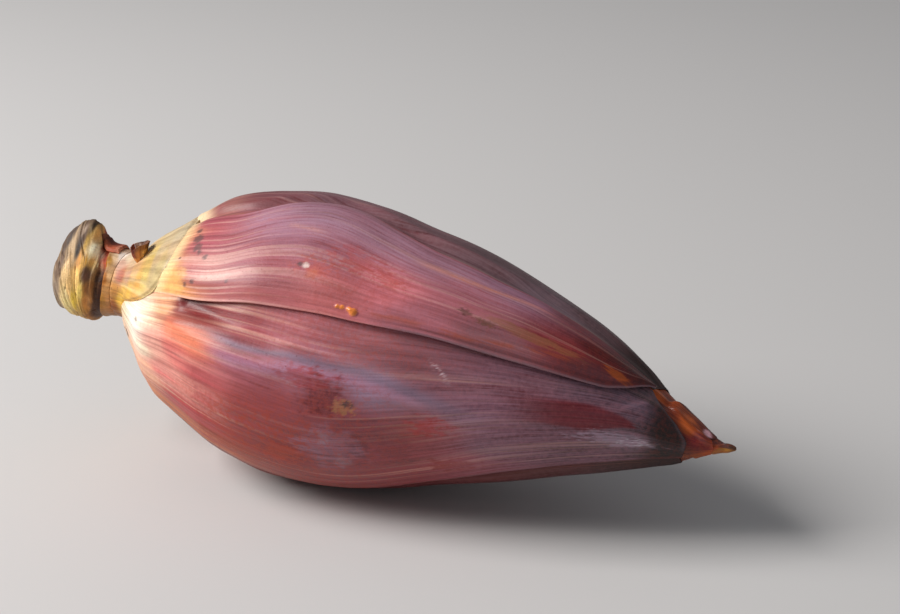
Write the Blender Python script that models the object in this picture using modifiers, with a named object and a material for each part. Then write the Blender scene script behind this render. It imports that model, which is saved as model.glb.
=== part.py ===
"""A banana blossom, picked with a short cut stalk, lying on its side on a surface at z = 0.

Shapes are laid out round the blossom's axis, which runs from the neck, where the stalk widens
into the blossom, to the tip. A place on the blossom is given by three numbers: along, the share
of the way from neck to tip, around, the angle in degrees from the side that faces -Y, rising
towards the top, and depth, in metres below the blossom's outer surface.
"""

import bisect
import math

import bmesh
import bpy
from mathutils import Vector

# Driving dimensions, in metres and degrees.
LENGTH = 0.2598  # neck to tip
TIP_DOWN = 5.0  # how far the axis dips towards the tip as the blossom lies
NECK_HEIGHT = 0.0625  # the neck's centre above the surface it lies on
BRACT_THICKNESS = 0.0017
TIP_BRACT_THICKNESS = 0.0011
THIN_END = 0.5  # a bract's thickness at its end, as a share of its full thickness
THINS_OVER = (0.68, 0.90)  # the shares of the length over which it thins to that
LAYER_GAP = 0.0006  # between a bract and the one below it
SEAM_GAP = 0.0008  # between the stalk's flare and the bracts' bases
FACE_GAP = 0.0016  # between the flare's end face and the bud
CORE_DEPTH = 0.0050  # two bracts and their gaps
TIP_CORE_DEPTH = 0.0082  # and the tip's own bracts as well
BUD_POINT_START = 0.86  # share of the length past which the bud narrows to its point
BUD_SINKS_OVER = (0.62, 0.74)  # where the bud goes down to make room for the tip's bracts
BUD_SHOWS_OVER = (0.88, 0.93)  # and where it comes up to the blossom's surface
FLARE_FACE = 0.080  # share of the length at which the flare ends on the axis
STALK_LENGTH = 0.0285  # cut face to neck
NECK_RADIUS = 0.0124

# The blossom's outer radius at shares of its length.
PROFILE = (
    (0.00, NECK_RADIUS),
    (0.03, 0.0174),
    (0.06, 0.0250),
    (0.09, 0.0316),
    (0.13, 0.0400),
    (0.18, 0.0487),
    (0.24, 0.0536),
    (0.32, 0.0568),
    (0.40, 0.0557),
    (0.50, 0.0510),
    (0.60, 0.0441),
    (0.70, 0.0357),
    (0.80, 0.0257),
    (0.87, 0.0169),
    (0.93, 0.0093),
    (0.97, 0.0045),
    (1.00, 0.0009),
)

# What the lower side adds to it: a step where the outer bracts' bases stand out from the neck.
LOWER_SIDE = (
    (0.000, 0.0),
    (0.027, -0.0022),
    (0.041, 0.0012),
    (0.070, 0.0012),
    (0.110, 0.0022),
    (0.180, -0.0012),
    (0.240, 0.0),
)
LOWER_FROM = -130  # the lower side's range of angles
LOWER_TO = 0
LOWER_EDGE = 25  # and the range over which its step fades out

# How far the middle of the section lies above the straight line from neck to tip.
AXIS_RISE = (
    (-0.110, 0.0020),
    (-0.060, 0.0018),
    (-0.030, 0.0024),
    (-0.012, 0.0031),
    (0.030, 0.0030),
    (0.060, 0.0026),
    (0.110, 0.0014),
    (0.150, 0.0012),
    (0.450, 0.0013),
    (0.600, 0.0037),
    (0.750, 0.0037),
    (0.880, 0.0006),
    (0.940, -0.0014),
    (1.000, 0.0),
)

# The seam where the bracts spring from the stalk's flare: share of the length at each angle.
SEAM = (
    (-180, 0.080),
    (-140, 0.050),
    (-110, 0.031),
    (0, 0.030),
    (16, 0.072),
    (30, 0.122),
    (44, 0.142),
    (60, 0.145),
    (85, 0.132),
    (120, 0.108),
    (180, 0.080),
)

# The stalk's outline behind the neck: distance from the neck, and radius.
STALK_PROFILE = (
    (-0.0285, 0.0100),
    (-0.0278, 0.0130),
    (-0.0250, 0.0155),
    (-0.0200, 0.0168),
    (-0.0150, 0.0168),
    (-0.0118, 0.0165),
    (-0.0100, 0.0151),
    (-0.0085, 0.0144),
    (-0.0050, 0.0134),
    (-0.0025, 0.0128),
    (0.0000, NECK_RADIUS),
)
STALK_STATIONS = (
    (-0.0285, -0.0278, -0.0266, -0.0238, -0.0205, -0.0178)
    + (-0.0155, -0.0137, -0.0120, -0.0105, -0.0085, -0.0060, -0.0030, 0.0)
)
# The knob on the node's upper side: a ridge that slopes down to a steep wall facing the neck.
KNOB = {"around": 94, "front_width": 28, "back_width": 15}
KNOB_RIDGE = (
    (-0.0285, 0.0045),
    (-0.0260, 0.0050),
    (-0.0235, 0.0062),
    (-0.0205, 0.0080),
    (-0.0165, 0.0078),
    (-0.0137, 0.0064),
    (-0.0120, 0.0),
)

# The remains of torn bracts: two curled collars on the flare, and a flap that lies on the neck.
TOP_STUB = {
    "along": 0.036,
    "around": 81,
    "lean": 0.006,
    "radius": 0.0042,
    "narrowing": 0.85,
    "height": 0.0068,
    "half_turn": 75,
    "clear": 0.0009,
    "thickness": 0.0014,
    "thin_rim": 0.0009,
}
UNDER_STUB = {
    "along": 0.024,
    "around": -62,
    "lean": 0.004,
    "radius": 0.0022,
    "narrowing": 0.85,
    "height": 0.0036,
    "half_turn": 60,
    "clear": 0.0009,
    "thickness": 0.0012,
    "thin_rim": 0.0009,
}
FLAP = {
    "from": -0.0112,
    "to": -0.0020,
    "low": 78,
    "high": 108,
    "clear": 0.0022,
    "lift": 0.0024,
    "thickness": 0.0012,
}
BRACT_ROUGHNESS = 0.45
DRY_ROUGHNESS = 0.7
SIDES = 36  # facets round the stalk and the bud
FACE_RINGS = 4  # rings of facets on the faces where the two meet


def curve_through(points):
    """A smooth function through the points that rises and falls only where they do."""
    xs = [x for x, _ in points]
    ys = [y for _, y in points]
    steps = [(y1 - y0) / (x1 - x0) for (x0, y0), (x1, y1) in zip(points, points[1:])]
    slopes = [steps[0]]
    for before, after in zip(steps, steps[1:]):
        rising_or_falling = before * after > 0
        slopes.append(2 * before * after / (before + after) if rising_or_falling else 0.0)
    slopes.append(steps[-1])

    def value(x):
        x = min(max(x, xs[0]), xs[-1])
        i = min(bisect.bisect_right(xs, x) - 1, len(xs) - 2)
        span = xs[i + 1] - xs[i]
        t = (x - xs[i]) / span
        start = ys[i] * (1 + 2 * t) + span * slopes[i] * t
        end = ys[i + 1] * (3 - 2 * t) - span * slopes[i + 1] * (1 - t)
        return start * (1 - t) ** 2 + end * t**2

    return value


def blend(low, high, share):
    return low + (high - low) * share


def fade(value, start, end):
    """1 before start, 0 after end, and smooth in between."""
    t = min(max((value - start) / (end - start), 0.0), 1.0)
    return 1 - t * t * (3 - 2 * t)


profile_at = curve_through(PROFILE)
lower_side_at = curve_through(LOWER_SIDE)
axis_rise_at = curve_through(AXIS_RISE)
seam_at = curve_through(SEAM)
stalk_radius_at = curve_through(STALK_PROFILE)
knob_ridge_at = curve_through(KNOB_RIDGE)


def turned(around):
    """The same angle between -180 and 180."""
    return (around + 180) % 360 - 180


def seam(around):
    return seam_at(turned(around))


def radius_at(along, around):
    around = turned(around)
    past_front = fade(around, LOWER_TO, LOWER_TO + LOWER_EDGE)
    past_back = fade(around, LOWER_FROM - LOWER_EDGE, LOWER_FROM)
    return profile_at(along) + lower_side_at(along) * past_front * (1 - past_back)


def around_axis(x, radius, around):
    """The point at a distance x along the axis from the neck, in the blossom's own frame."""
    angle = math.radians(around)
    rise = axis_rise_at(x / LENGTH)
    return Vector((x, -radius * math.cos(angle), radius * math.sin(angle) + rise))


def section_point(along, around, depth):
    """(x, radius) of the point at this depth below the outer surface, measured square to it."""
    step = 0.004
    radius = radius_at(along, around)
    rise = radius_at(along + step, around) - radius_at(along - step, around)
    run = LENGTH * (min(along + step, 1.0) - max(along - step, 0.0))
    slant = math.hypot(rise, run)
    if rise < 0:  # past the belly, straight towards the axis
        return along * LENGTH, radius - depth * slant / run
    return along * LENGTH + depth * rise / slant, radius - depth * run / slant


def rest_on_surface(point):
    """The point, lifted onto the surface that the blossom lies on if it is below it."""
    tilt = math.radians(TIP_DOWN)
    up = Vector((-math.sin(tilt), 0, math.cos(tilt)))
    below = -NECK_HEIGHT - point.dot(up)
    return point + up * below if below > 0 else point


def on_blossom(along, around, depth=0.0):
    x, radius = section_point(along, around, depth)
    return rest_on_surface(around_axis(x, radius, around))


class Bract:
    """One bract: a leaf of the blossom between two side margins, from its base to its end."""

    def __init__(self, name, low, high, end, under, base=None, tip=False):
        self.name = name
        self.low = curve_through(low)  # angle of the side margin that comes first
        self.high = curve_through(high)  # angle of the other one
        self.end = curve_through(end)  # share of the length where it ends, at each angle
        self.base = base  # share of the length where it starts, or None at the seam
        self.under = under  # the bracts that lie over it
        self.thickness = TIP_BRACT_THICKNESS if tip else BRACT_THICKNESS
        self.tuck = 0.003 if tip else 0.005  # how far past a covering margin the next one stays low
        self.rise = 0.004 if tip else 0.005  # and how far it then takes to come up

    def start(self, around):
        return seam(around) + SEAM_GAP / LENGTH if self.base is None else self.base

    def place(self, u, v):
        """(along, around) at the share u from base to end and v from margin to margin."""
        along = blend(0.1, 0.9, u)
        around = 0.0
        for _ in range(6):
            around = blend(self.low(along), self.high(along), v)
            along = blend(self.start(around), self.end(around), u)
        return along, around

    def distance_outside(self, along, around):
        """How far, in metres, a place lies outside this bract's outline."""
        low, high = self.low(along), self.high(along)
        middle = (low + high) / 2
        around = turned(around - middle) + middle
        beside = math.radians(max(low - around, around - high)) * radius_at(along, around)
        beyond = max(along - self.end(around), self.start(around) - along) * LENGTH
        if beside > 0 and beyond > 0:
            return math.hypot(beside, beyond)
        return max(beside, beyond)

    def thickness_at(self, along):
        """Bracts are thinner towards their ends."""
        return self.thickness * blend(THIN_END, 1.0, fade(along, *THINS_OVER))

    def depth(self, along, around):
        """How deep this bract's outer face lies below the bracts over it."""
        return depth_below(self.under, along, around)


def depth_below(bracts, along, around):
    deepest = 0.0
    for bract in bracts:
        outside = bract.distance_outside(along, around)
        covered = fade(outside, bract.tuck, bract.tuck + bract.rise)
        if covered > 0:
            own = bract.depth(along, around) + bract.thickness_at(along) + LAYER_GAP
            deepest = max(deepest, covered * own)
    return deepest


def make_bracts():
    """The bracts, from the outermost inwards."""
    upper_front = Bract(
        "upper_front_bract",
        low=((0.10, 28), (0.20, 28.5), (0.32, 33), (0.45, 36), (0.65, 37))
        + ((0.76, 39), (0.81, 43), (0.84, 54), (0.86, 70), (0.875, 86)),
        high=((0.10, 73), (0.22, 74), (0.30, 86), (0.37, 94), (0.46, 89))
        + ((0.54, 84), (0.62, 84), (0.70, 88), (0.80, 88), (0.875, 92)),
        end=((40, 0.870), (95, 0.874)),
        under=[],
    )
    back = Bract(
        "back_bract",
        low=((0.08, 168), (0.35, 164), (0.65, 165), (0.80, 167), (0.895, 192)),
        high=((0.08, 238), (0.35, 240), (0.65, 245), (0.80, 242), (0.895, 212)),
        end=((168, 0.893), (202, 0.897), (246, 0.893)),
        under=[],
    )
    lower_front = Bract(
        "lower_front_bract",
        low=((0.03, -58), (0.18, -46), (0.30, -52), (0.45, -62), (0.58, -56))
        + ((0.69, -43), (0.77, -38), (0.85, -34), (0.93, -30)),
        high=((0.07, 42), (0.30, 49), (0.60, 54), (0.75, 60), (0.87, 82)),
        end=((-36, 0.930), (15, 0.935), (45, 0.919), (60, 0.895), (84, 0.868)),
        under=[upper_front],
    )
    top = Bract(
        "top_bract",
        low=((0.08, 57), (0.30, 68), (0.60, 70), (0.80, 74), (0.88, 98)),
        high=((0.08, 184), (0.35, 180), (0.65, 180), (0.80, 172), (0.88, 148)),
        end=((60, 0.868), (100, 0.870), (140, 0.884), (184, 0.884)),
        under=[upper_front, back],
    )
    underside = Bract(
        "underside_bract",
        low=((0.03, -132), (0.35, -133), (0.65, -130), (0.80, -128), (0.925, -98)),
        high=((0.03, -42), (0.18, -30), (0.30, -36), (0.45, -46), (0.58, -40))
        + ((0.69, -28), (0.77, -24), (0.85, -26), (0.925, -52)),
        end=((-130, 0.918), (-78, 0.926), (-30, 0.918)),
        under=[lower_front, back],
    )
    outer = [upper_front, back, lower_front, top, underside]
    tip_front = Bract(
        "tip_bract_front",
        low=((0.76, -60), (0.90, -56), (0.965, -34)),
        high=((0.76, 82), (0.91, 78), (0.965, 52)),
        end=((-60, 0.964), (0, 0.970), (80, 0.962)),
        under=outer,
        base=0.76,
        tip=True,
    )
    tip_back = Bract(
        "tip_bract_back",
        low=((0.76, 60), (0.90, 56), (0.95, 70)),
        high=((0.76, 318), (0.90, 320), (0.95, 290)),
        end=((46, 0.958), (120, 0.968), (200, 0.955), (320, 0.945)),
        under=[*outer, tip_front],
        base=0.76,
        tip=True,
    )
    return [*outer, tip_front, tip_back]


def make_material(name, colour, roughness):
    material = bpy.data.materials.new(name)
    material.use_nodes = True
    shader = material.node_tree.nodes["Principled BSDF"]
    shader.inputs["Base Color"].default_value = (*colour, 1.0)
    shader.inputs["Roughness"].default_value = roughness
    shader.inputs["Metallic"].default_value = 0.0
    return material


def make_object(name, mesh_builder, colour, roughness, frame, collection):
    mesh = bpy.data.meshes.new(name)
    mesh_builder.to_mesh(mesh)
    mesh_builder.free()
    mesh.shade_smooth()
    mesh.materials.append(make_material(name, colour, roughness))
    made = bpy.data.objects.new(name, mesh)
    made.parent = frame
    collection.objects.link(made)
    return made


def sheet(name, rows, columns, place, thickness, colour, roughness, frame, collection):
    """A curved sheet: a grid laid out by place(u, v), with thickness(u, v) added underneath."""
    builder = bmesh.new()
    bmesh.ops.create_grid(builder, x_segments=columns, y_segments=rows, size=0.5)
    shares = [(0.5 + vertex.co.y, 0.5 - vertex.co.x) for vertex in builder.verts]
    for vertex, (u, v) in zip(builder.verts, shares):
        vertex.co = place(u, v)
    made = make_object(name, builder, colour, roughness, frame, collection)
    thicknesses = [thickness(u, v) for u, v in shares]
    solidify = made.modifiers.new("thickness", "SOLIDIFY")
    solidify.thickness = max(thicknesses)
    solidify.offset = -1
    shares_of_most = made.vertex_groups.new(name="thickness")
    for index, value in enumerate(thicknesses):
        shares_of_most.add([index], value / solidify.thickness, "REPLACE")
    solidify.vertex_group = shares_of_most.name
    return made


def round_body(name, rings, sides, place, colour, roughness, frame, collection):
    """A closed body: a sphere whose rings are laid out by place(ring, around)."""
    builder = bmesh.new()
    bmesh.ops.create_uvsphere(builder, u_segments=sides, v_segments=rings, radius=1.0)
    for vertex in builder.verts:
        polar = math.acos(max(-1.0, min(1.0, -vertex.co.z)))
        around = math.degrees(math.atan2(vertex.co.y, vertex.co.x))
        vertex.co = place(round(polar / math.pi * rings), around)
    bmesh.ops.reverse_faces(builder, faces=builder.faces)  # the layout mirrors the sphere
    return make_object(name, builder, colour, roughness, frame, collection)


def on_stalk(x, around, height=0.0):
    """The point this far above the cut node or the neck, which has a knob on one side."""
    off_knob = turned(around - KNOB["around"])
    off_knob = off_knob / (KNOB["back_width"] if off_knob > 0 else KNOB["front_width"])
    knob = knob_ridge_at(x) * math.exp(-(off_knob**2))
    return around_axis(x, stalk_radius_at(x) + knob + height, around)


def inner_face(share, around, shift):
    """The face on which the flare ends and the bud starts: share 0 at the axis, 1 at its rim."""
    rim_x, rim_radius = section_point(seam(around), around, CORE_DEPTH)
    x = blend(FLARE_FACE * LENGTH, rim_x, share**2)
    return around_axis(x + shift, rim_radius * share, around)


def make_stalk(frame, collection):
    """The cut node, the neck and the flare that carries the bracts."""
    flare_rings = 8
    cut_rings = 1 + len(STALK_STATIONS)
    rings = cut_rings + flare_rings + FACE_RINGS

    def place(ring, around):
        if ring == 0:
            return around_axis(-STALK_LENGTH, 0.0, around)
        if ring < cut_rings:
            return on_stalk(STALK_STATIONS[ring - 1], around)
        if ring < cut_rings + flare_rings:
            share = (ring - cut_rings + 1) / flare_rings
            return on_blossom(share * seam(around), around)
        return inner_face((rings - ring) / FACE_RINGS, around, 0.0)

    return round_body("stalk", rings, SIDES, place, (0.55, 0.42, 0.17), 0.55, frame, collection)


def make_inner_bud(bracts, frame, collection):
    """The closed bud inside the bracts, whose point shows at the tip."""
    body_rings = 15
    point_rings = 15
    rings = FACE_RINGS + body_rings + point_rings

    def place(ring, around):
        if ring < FACE_RINGS:
            return inner_face(ring / FACE_RINGS, around, FACE_GAP)
        if ring < FACE_RINGS + body_rings:
            start = seam(around) + FACE_GAP / LENGTH
            along = blend(start, BUD_POINT_START, (ring - FACE_RINGS) / body_rings)
            deep = fade(along, *BUD_SINKS_OVER)
            return on_blossom(along, around, blend(TIP_CORE_DEPTH, CORE_DEPTH, deep))
        along = blend(BUD_POINT_START, 1.0, (ring - FACE_RINGS - body_rings) / point_rings)
        hidden = fade(along, *BUD_SHOWS_OVER) * TIP_CORE_DEPTH
        clear = depth_below(bracts, along, around) + LAYER_GAP / 2
        return on_blossom(along, around, max(hidden, clear))

    return round_body("inner_bud", rings, SIDES, place, (0.62, 0.33, 0.06), 0.5, frame, collection)


def make_bract(bract, rows, columns, colour, frame, collection):
    """A bract's sheet. Its rows are closer together at the shoulder, where it bends most."""

    def where(u, v):
        return bract.place(u if bract.base else u**1.25, v)

    def place(u, v):
        along, around = where(u, v)
        return on_blossom(along, around, bract.depth(along, around))

    def thickness(u, v):
        return bract.thickness_at(where(u, v)[0])

    return sheet(bract.name, rows, columns, place, thickness, colour, BRACT_ROUGHNESS, frame, collection)


def make_stub(name, size, colour, frame, collection):
    """What is left of a torn bract: a short curled collar that stands on the flare."""
    foot = on_blossom(size["along"], size["around"])
    middle = around_axis(size["along"] * LENGTH - size["lean"], 0.0, 0.0)
    out = (foot - middle).normalized()
    side = Vector((1, 0, 0)).cross(out).normalized()
    forward = out.cross(side)

    def place(u, v):
        angle = math.radians(blend(-size["half_turn"], size["half_turn"], v))
        ring = side * math.sin(angle) - forward * math.cos(angle)
        width = size["radius"] * blend(1.0, size["narrowing"], u)
        return foot + out * (size["clear"] + size["height"] * u) + ring * width

    def thickness(u, v):
        return blend(size["thickness"], size["thin_rim"], u)

    return sheet(name, 5, 10, place, thickness, colour, DRY_ROUGHNESS, frame, collection)


def make_flap(brown, frame, collection):
    """A dried strip of bract that lies along the top of the neck."""

    def place(u, v):
        x = blend(FLAP["from"], FLAP["to"], u)
        around = blend(FLAP["low"], FLAP["high"], v)
        return on_stalk(x, around, blend(FLAP["clear"], FLAP["lift"], u))

    def thickness(u, v):
        return FLAP["thickness"]

    return sheet("dried_bract_flap", 6, 6, place, thickness, brown, DRY_ROUGHNESS, frame, collection)


def put_origin_below(frame, collection):
    """Moves the frame so that the origin lies under the middle of the blossom's box."""
    bpy.context.view_layer.update()
    graph = bpy.context.evaluated_depsgraph_get()
    corners = []
    for made in collection.objects:
        if made.type == "MESH":
            evaluated = made.evaluated_get(graph)
            corners += [evaluated.matrix_world @ vertex.co for vertex in evaluated.data.vertices]
    lowest = [min(corner[axis] for corner in corners) for axis in range(3)]
    highest = [max(corner[axis] for corner in corners) for axis in range(3)]
    middle = Vector(((lowest[0] + highest[0]) / 2, (lowest[1] + highest[1]) / 2, lowest[2]))
    frame.location -= middle


def main():
    for old in list(bpy.data.objects):
        bpy.data.objects.remove(old, do_unlink=True)
    collection = bpy.data.collections.new("banana_blossom")
    bpy.context.scene.collection.children.link(collection)
    frame = bpy.data.objects.new("blossom_frame", None)
    frame.rotation_euler = (0, math.radians(TIP_DOWN), 0)
    collection.objects.link(frame)

    bracts = make_bracts()
    colours = {
        "upper_front_bract": (0.36, 0.10, 0.11),
        "back_bract": (0.24, 0.05, 0.07),
        "lower_front_bract": (0.33, 0.08, 0.10),
        "top_bract": (0.20, 0.07, 0.08),
        "underside_bract": (0.26, 0.06, 0.07),
        "tip_bract_front": (0.30, 0.03, 0.03),
        "tip_bract_back": (0.50, 0.14, 0.03),
    }
    columns = {
        "upper_front_bract": 9,
        "back_bract": 11,
        "lower_front_bract": 16,
        "top_bract": 15,
        "underside_bract": 14,
        "tip_bract_front": 10,
        "tip_bract_back": 24,
    }
    for bract in bracts:
        rows = 14 if bract.base else 28
        make_bract(bract, rows, columns[bract.name], colours[bract.name], frame, collection)
    make_stalk(frame, collection)
    make_inner_bud(bracts, frame, collection)
    brown = (0.16, 0.07, 0.03)
    make_stub("torn_bract_stub_top", TOP_STUB, brown, frame, collection)
    make_stub("torn_bract_stub_under", UNDER_STUB, brown, frame, collection)
    make_flap((0.25, 0.07, 0.03), frame, collection)
    put_origin_below(frame, collection)


main()
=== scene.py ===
"""A banana blossom lying on its side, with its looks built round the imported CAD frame.

Places on the blossom are given as in the CAD: along, the share of the way from neck to tip, and
around, the angle in degrees from the side that faces -Y, rising towards the top. Lengths are in
metres. Colours are written as red, green and blue from 0 to 255, as a screen shows them.
"""

import math
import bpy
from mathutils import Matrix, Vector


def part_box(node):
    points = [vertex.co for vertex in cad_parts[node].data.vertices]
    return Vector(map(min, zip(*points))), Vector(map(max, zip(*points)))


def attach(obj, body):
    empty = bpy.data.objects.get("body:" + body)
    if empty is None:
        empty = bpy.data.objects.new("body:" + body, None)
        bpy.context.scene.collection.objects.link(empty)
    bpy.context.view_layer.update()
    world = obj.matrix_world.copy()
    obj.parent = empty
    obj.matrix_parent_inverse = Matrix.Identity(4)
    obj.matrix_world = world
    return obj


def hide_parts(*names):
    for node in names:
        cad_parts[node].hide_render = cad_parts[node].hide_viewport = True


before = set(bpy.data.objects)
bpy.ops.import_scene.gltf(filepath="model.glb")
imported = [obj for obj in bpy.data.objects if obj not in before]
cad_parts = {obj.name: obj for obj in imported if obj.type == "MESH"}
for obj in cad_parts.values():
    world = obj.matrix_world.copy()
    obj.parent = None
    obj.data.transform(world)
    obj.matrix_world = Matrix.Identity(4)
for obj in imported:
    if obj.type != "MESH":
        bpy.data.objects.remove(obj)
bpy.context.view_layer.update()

from types import SimpleNamespace

import bpy
import numpy as np
from mathutils import Vector

# ---------------------------------------------------------------- the CAD's layout
LENGTH = 0.2598
TIP_DOWN = math.radians(5.0)
NECK_HEIGHT = 0.0625
NECK_RADIUS = 0.0124
STALK_LENGTH = 0.0285
BRACT_THICKNESS = 0.0017
TIP_BRACT_THICKNESS = 0.0011
THIN_END = 0.5
LAYER_GAP = 0.0006
SEAM_GAP = 0.0008

PROFILE = (
    ((0.00, NECK_RADIUS), (0.03, 0.0174), (0.06, 0.0250), (0.09, 0.0316), (0.13, 0.0400))
    + ((0.18, 0.0487), (0.24, 0.0536), (0.32, 0.0568), (0.40, 0.0557), (0.50, 0.0510))
    + ((0.60, 0.0441), (0.70, 0.0357), (0.80, 0.0257), (0.87, 0.0169), (0.93, 0.0093))
    + ((0.97, 0.0045), (1.00, 0.0009))
)
LOWER_SIDE = (
    ((0.000, 0.0), (0.027, -0.0022), (0.041, 0.0012), (0.070, 0.0012), (0.110, 0.0022))
    + ((0.180, -0.0012), (0.240, 0.0))
)
AXIS_RISE = (
    ((-0.110, 0.0020), (-0.060, 0.0018), (-0.030, 0.0024), (-0.012, 0.0031), (0.030, 0.0030))
    + ((0.060, 0.0026), (0.110, 0.0014), (0.150, 0.0012), (0.450, 0.0013), (0.600, 0.0037))
    + ((0.750, 0.0037), (0.880, 0.0006), (0.940, -0.0014), (1.000, 0.0))
)
SEAM = (
    ((-180, 0.080), (-140, 0.050), (-110, 0.031), (0, 0.030), (16, 0.072), (30, 0.122))
    + ((44, 0.142), (60, 0.145), (85, 0.132), (120, 0.108), (180, 0.080))
)
STALK_PROFILE = (
    ((-0.0285, 0.0100), (-0.0278, 0.0130), (-0.0250, 0.0155), (-0.0200, 0.0168))
    + ((-0.0150, 0.0168), (-0.0118, 0.0165), (-0.0100, 0.0151), (-0.0085, 0.0144), (-0.0050, 0.0134))
    + ((-0.0025, 0.0128), (0.0000, NECK_RADIUS))
)
LOWER_FROM, LOWER_TO, LOWER_EDGE = -130, 0, 25
KNOB = {"around": 94, "front_width": 28, "back_width": 15}
KNOB_TOP = (-0.0205, 0.0080)  # where along the stalk the knob is highest, and how high
KNOB_RIDGE = (
    ((-0.0285, 0.0045), (-0.0260, 0.0050), (-0.0235, 0.0062), KNOB_TOP)
    + ((-0.0165, 0.0078), (-0.0137, 0.0064), (-0.0120, 0.0))
)
# The knob's height on its front, as a share of its greatest.
KNOB_FRONT = ((KNOB_TOP[0], 1.0), (-0.0165, 0.86), (-0.0120, 0.40), (-0.0085, 0.0))
MILLIMETRES = 1000  # in a metre

_, bud_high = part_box("inner_bud")
NECK = np.array((bud_high.x - LENGTH * math.cos(TIP_DOWN), 0.0, NECK_HEIGHT))

# ---------------------------------------------------------------- small helpers


def curve(points):
    """A smooth function through the points that rises and falls only where they do."""
    xs, ys = np.array(points, float).T
    steps = np.diff(ys) / np.diff(xs)
    before, after = steps[:-1], steps[1:]
    same_way = before * after > 0
    total = np.where(same_way, before + after, 1.0)
    inner = np.where(same_way, 2 * before * after / total, 0.0)
    slopes = np.concatenate((steps[:1], inner, steps[-1:]))

    def value(x):
        x = np.clip(x, xs[0], xs[-1])
        i = np.clip(np.searchsorted(xs, x, side="right") - 1, 0, len(xs) - 2)
        span = xs[i + 1] - xs[i]
        t = (x - xs[i]) / span
        start = ys[i] * (1 + 2 * t) + span * slopes[i] * t
        end = ys[i + 1] * (3 - 2 * t) - span * slopes[i + 1] * (1 - t)
        return start * (1 - t) ** 2 + end * t**2

    return value


def blend(low, high, share):
    return low + (high - low) * share


def fade(value, start, end):
    """1 before start, 0 after end, and smooth in between."""
    t = np.clip((value - start) / (end - start), 0.0, 1.0)
    return 1 - t * t * (3 - 2 * t)


def grow(value, start, end):
    """0 before start, 1 after end, and smooth in between."""
    return 1 - fade(value, start, end)


def held(value, start, full, last, end):
    """0 before start, 1 from full to last, 0 after end, and smooth in between."""
    return grow(value, start, full) * fade(value, last, end)


def hump(value, middle, width):
    return np.exp(-(((value - middle) / width) ** 2))


def turned(around):
    """The same angle between -180 and 180."""
    return (around + 180) % 360 - 180


def scattered(ix, iy, seed):
    """A fixed number from 0 to 1 for each pair of whole numbers. The large factors mix the bits."""
    mixed = (ix.astype(np.int64) * 374761393 + iy.astype(np.int64) * 668265263) & 0xFFFFFFFF
    mixed = (mixed + seed * 974711) & 0xFFFFFFFF
    mixed = ((mixed ^ (mixed >> 13)) * 1274126177) & 0xFFFFFFFF
    return ((mixed ^ (mixed >> 16)) & 0xFFFFFF) / float(0xFFFFFF)


def noise(x, y, seed, period=None):
    """Smooth noise from 0 to 1 that repeats in y after period cells."""
    ix, iy = np.floor(x), np.floor(y)
    fx, fy = x - ix, y - iy
    fx, fy = fx * fx * (3 - 2 * fx), fy * fy * (3 - 2 * fy)

    def corner(dx, dy):
        row = (iy + dy) % period if period else iy + dy
        return scattered(ix + dx, row, seed)

    near = blend(corner(0, 0), corner(0, 1), fy)
    far = blend(corner(1, 0), corner(1, 1), fy)
    return blend(near, far, fx)


def cloud(x, y, seed, octaves=3, period=None):
    """Layered noise from about 0 to 1."""
    total, weight, size = 0.0, 0.0, 1.0
    for octave in range(octaves):
        repeat = period * 2**octave if period else None
        total = total + size * noise(x * 2**octave, y * 2**octave, seed + octave, repeat)
        weight += size
        size *= 0.5
    return total / weight


def rgb(red, green, blue):
    """A screen colour as the linear values that the renderer uses."""
    c = np.array((red, green, blue)) / 255
    return np.where(c <= 0.04045, c / 12.92, ((c + 0.055) / 1.055) ** 2.4)


def tint(colours, *layers):
    """The colours, changed towards the colour of each layer in turn by its weight at each place."""
    for colour, weight in layers:
        colours = colours + (rgb(*colour) - colours) * np.clip(weight, 0, 1)[..., None]
    return colours


def zones(along, around, stops, spread=(0.055, 11)):
    """Colours blended from stops, each one (along, around, (red, green, blue))."""
    total = np.zeros(along.shape + (3,))
    weights = np.zeros(along.shape)
    for stop_along, stop_around, colour in stops:
        off = ((along - stop_along) / spread[0]) ** 2 + ((around - stop_around) / spread[1]) ** 2
        weight = 1.0 / (0.08 + off) ** 2
        total += rgb(*colour) * weight[..., None]
        weights += weight
    return total / weights[..., None]


def patch(at, middle, size, seed, ragged, grain=(70, 0.45)):
    """The weight of a ragged patch round middle = (along, around), 1 inside and 0 outside."""
    along, around = at.along, at.around
    off = np.hypot((along - middle[0]) / size[0], (around - middle[1]) / size[1])
    off = off + ragged * 2 * (cloud(along * grain[0], around * grain[1], seed) - 0.5)
    return fade(off, 0.55, 1.15)


def blotched(colours, at, blotches):
    """The colours with blotches, each one (colour, weight, what patch needs)."""
    return tint(colours, *((colour, weight * patch(at, *shape)) for colour, weight, *shape in blotches))


def marks_of(shape, bloom, rust, wet=0.0):
    """The attribute marks: bloom, rust and wetness, each one number or a number for each place."""
    return np.stack([np.broadcast_to(part, shape) for part in (bloom, rust, wet, 1.0)], -1)


# ---------------------------------------------------------------- places on the blossom
profile_at = curve(PROFILE)
lower_side_at = curve(LOWER_SIDE)
axis_rise_at = curve(AXIS_RISE)
seam_curve = curve(SEAM)
stalk_radius_at = curve(STALK_PROFILE)
knob_ridge_at = curve(KNOB_RIDGE)
knob_front_at = curve(KNOB_FRONT)


def seam(around):
    return seam_curve(turned(around))


def radius_at(along, around):
    around = turned(around)
    past_front = fade(around, LOWER_TO, LOWER_TO + LOWER_EDGE)
    past_back = fade(around, LOWER_FROM - LOWER_EDGE, LOWER_FROM)
    return profile_at(along) + lower_side_at(along) * past_front * (1 - past_back)


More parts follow.
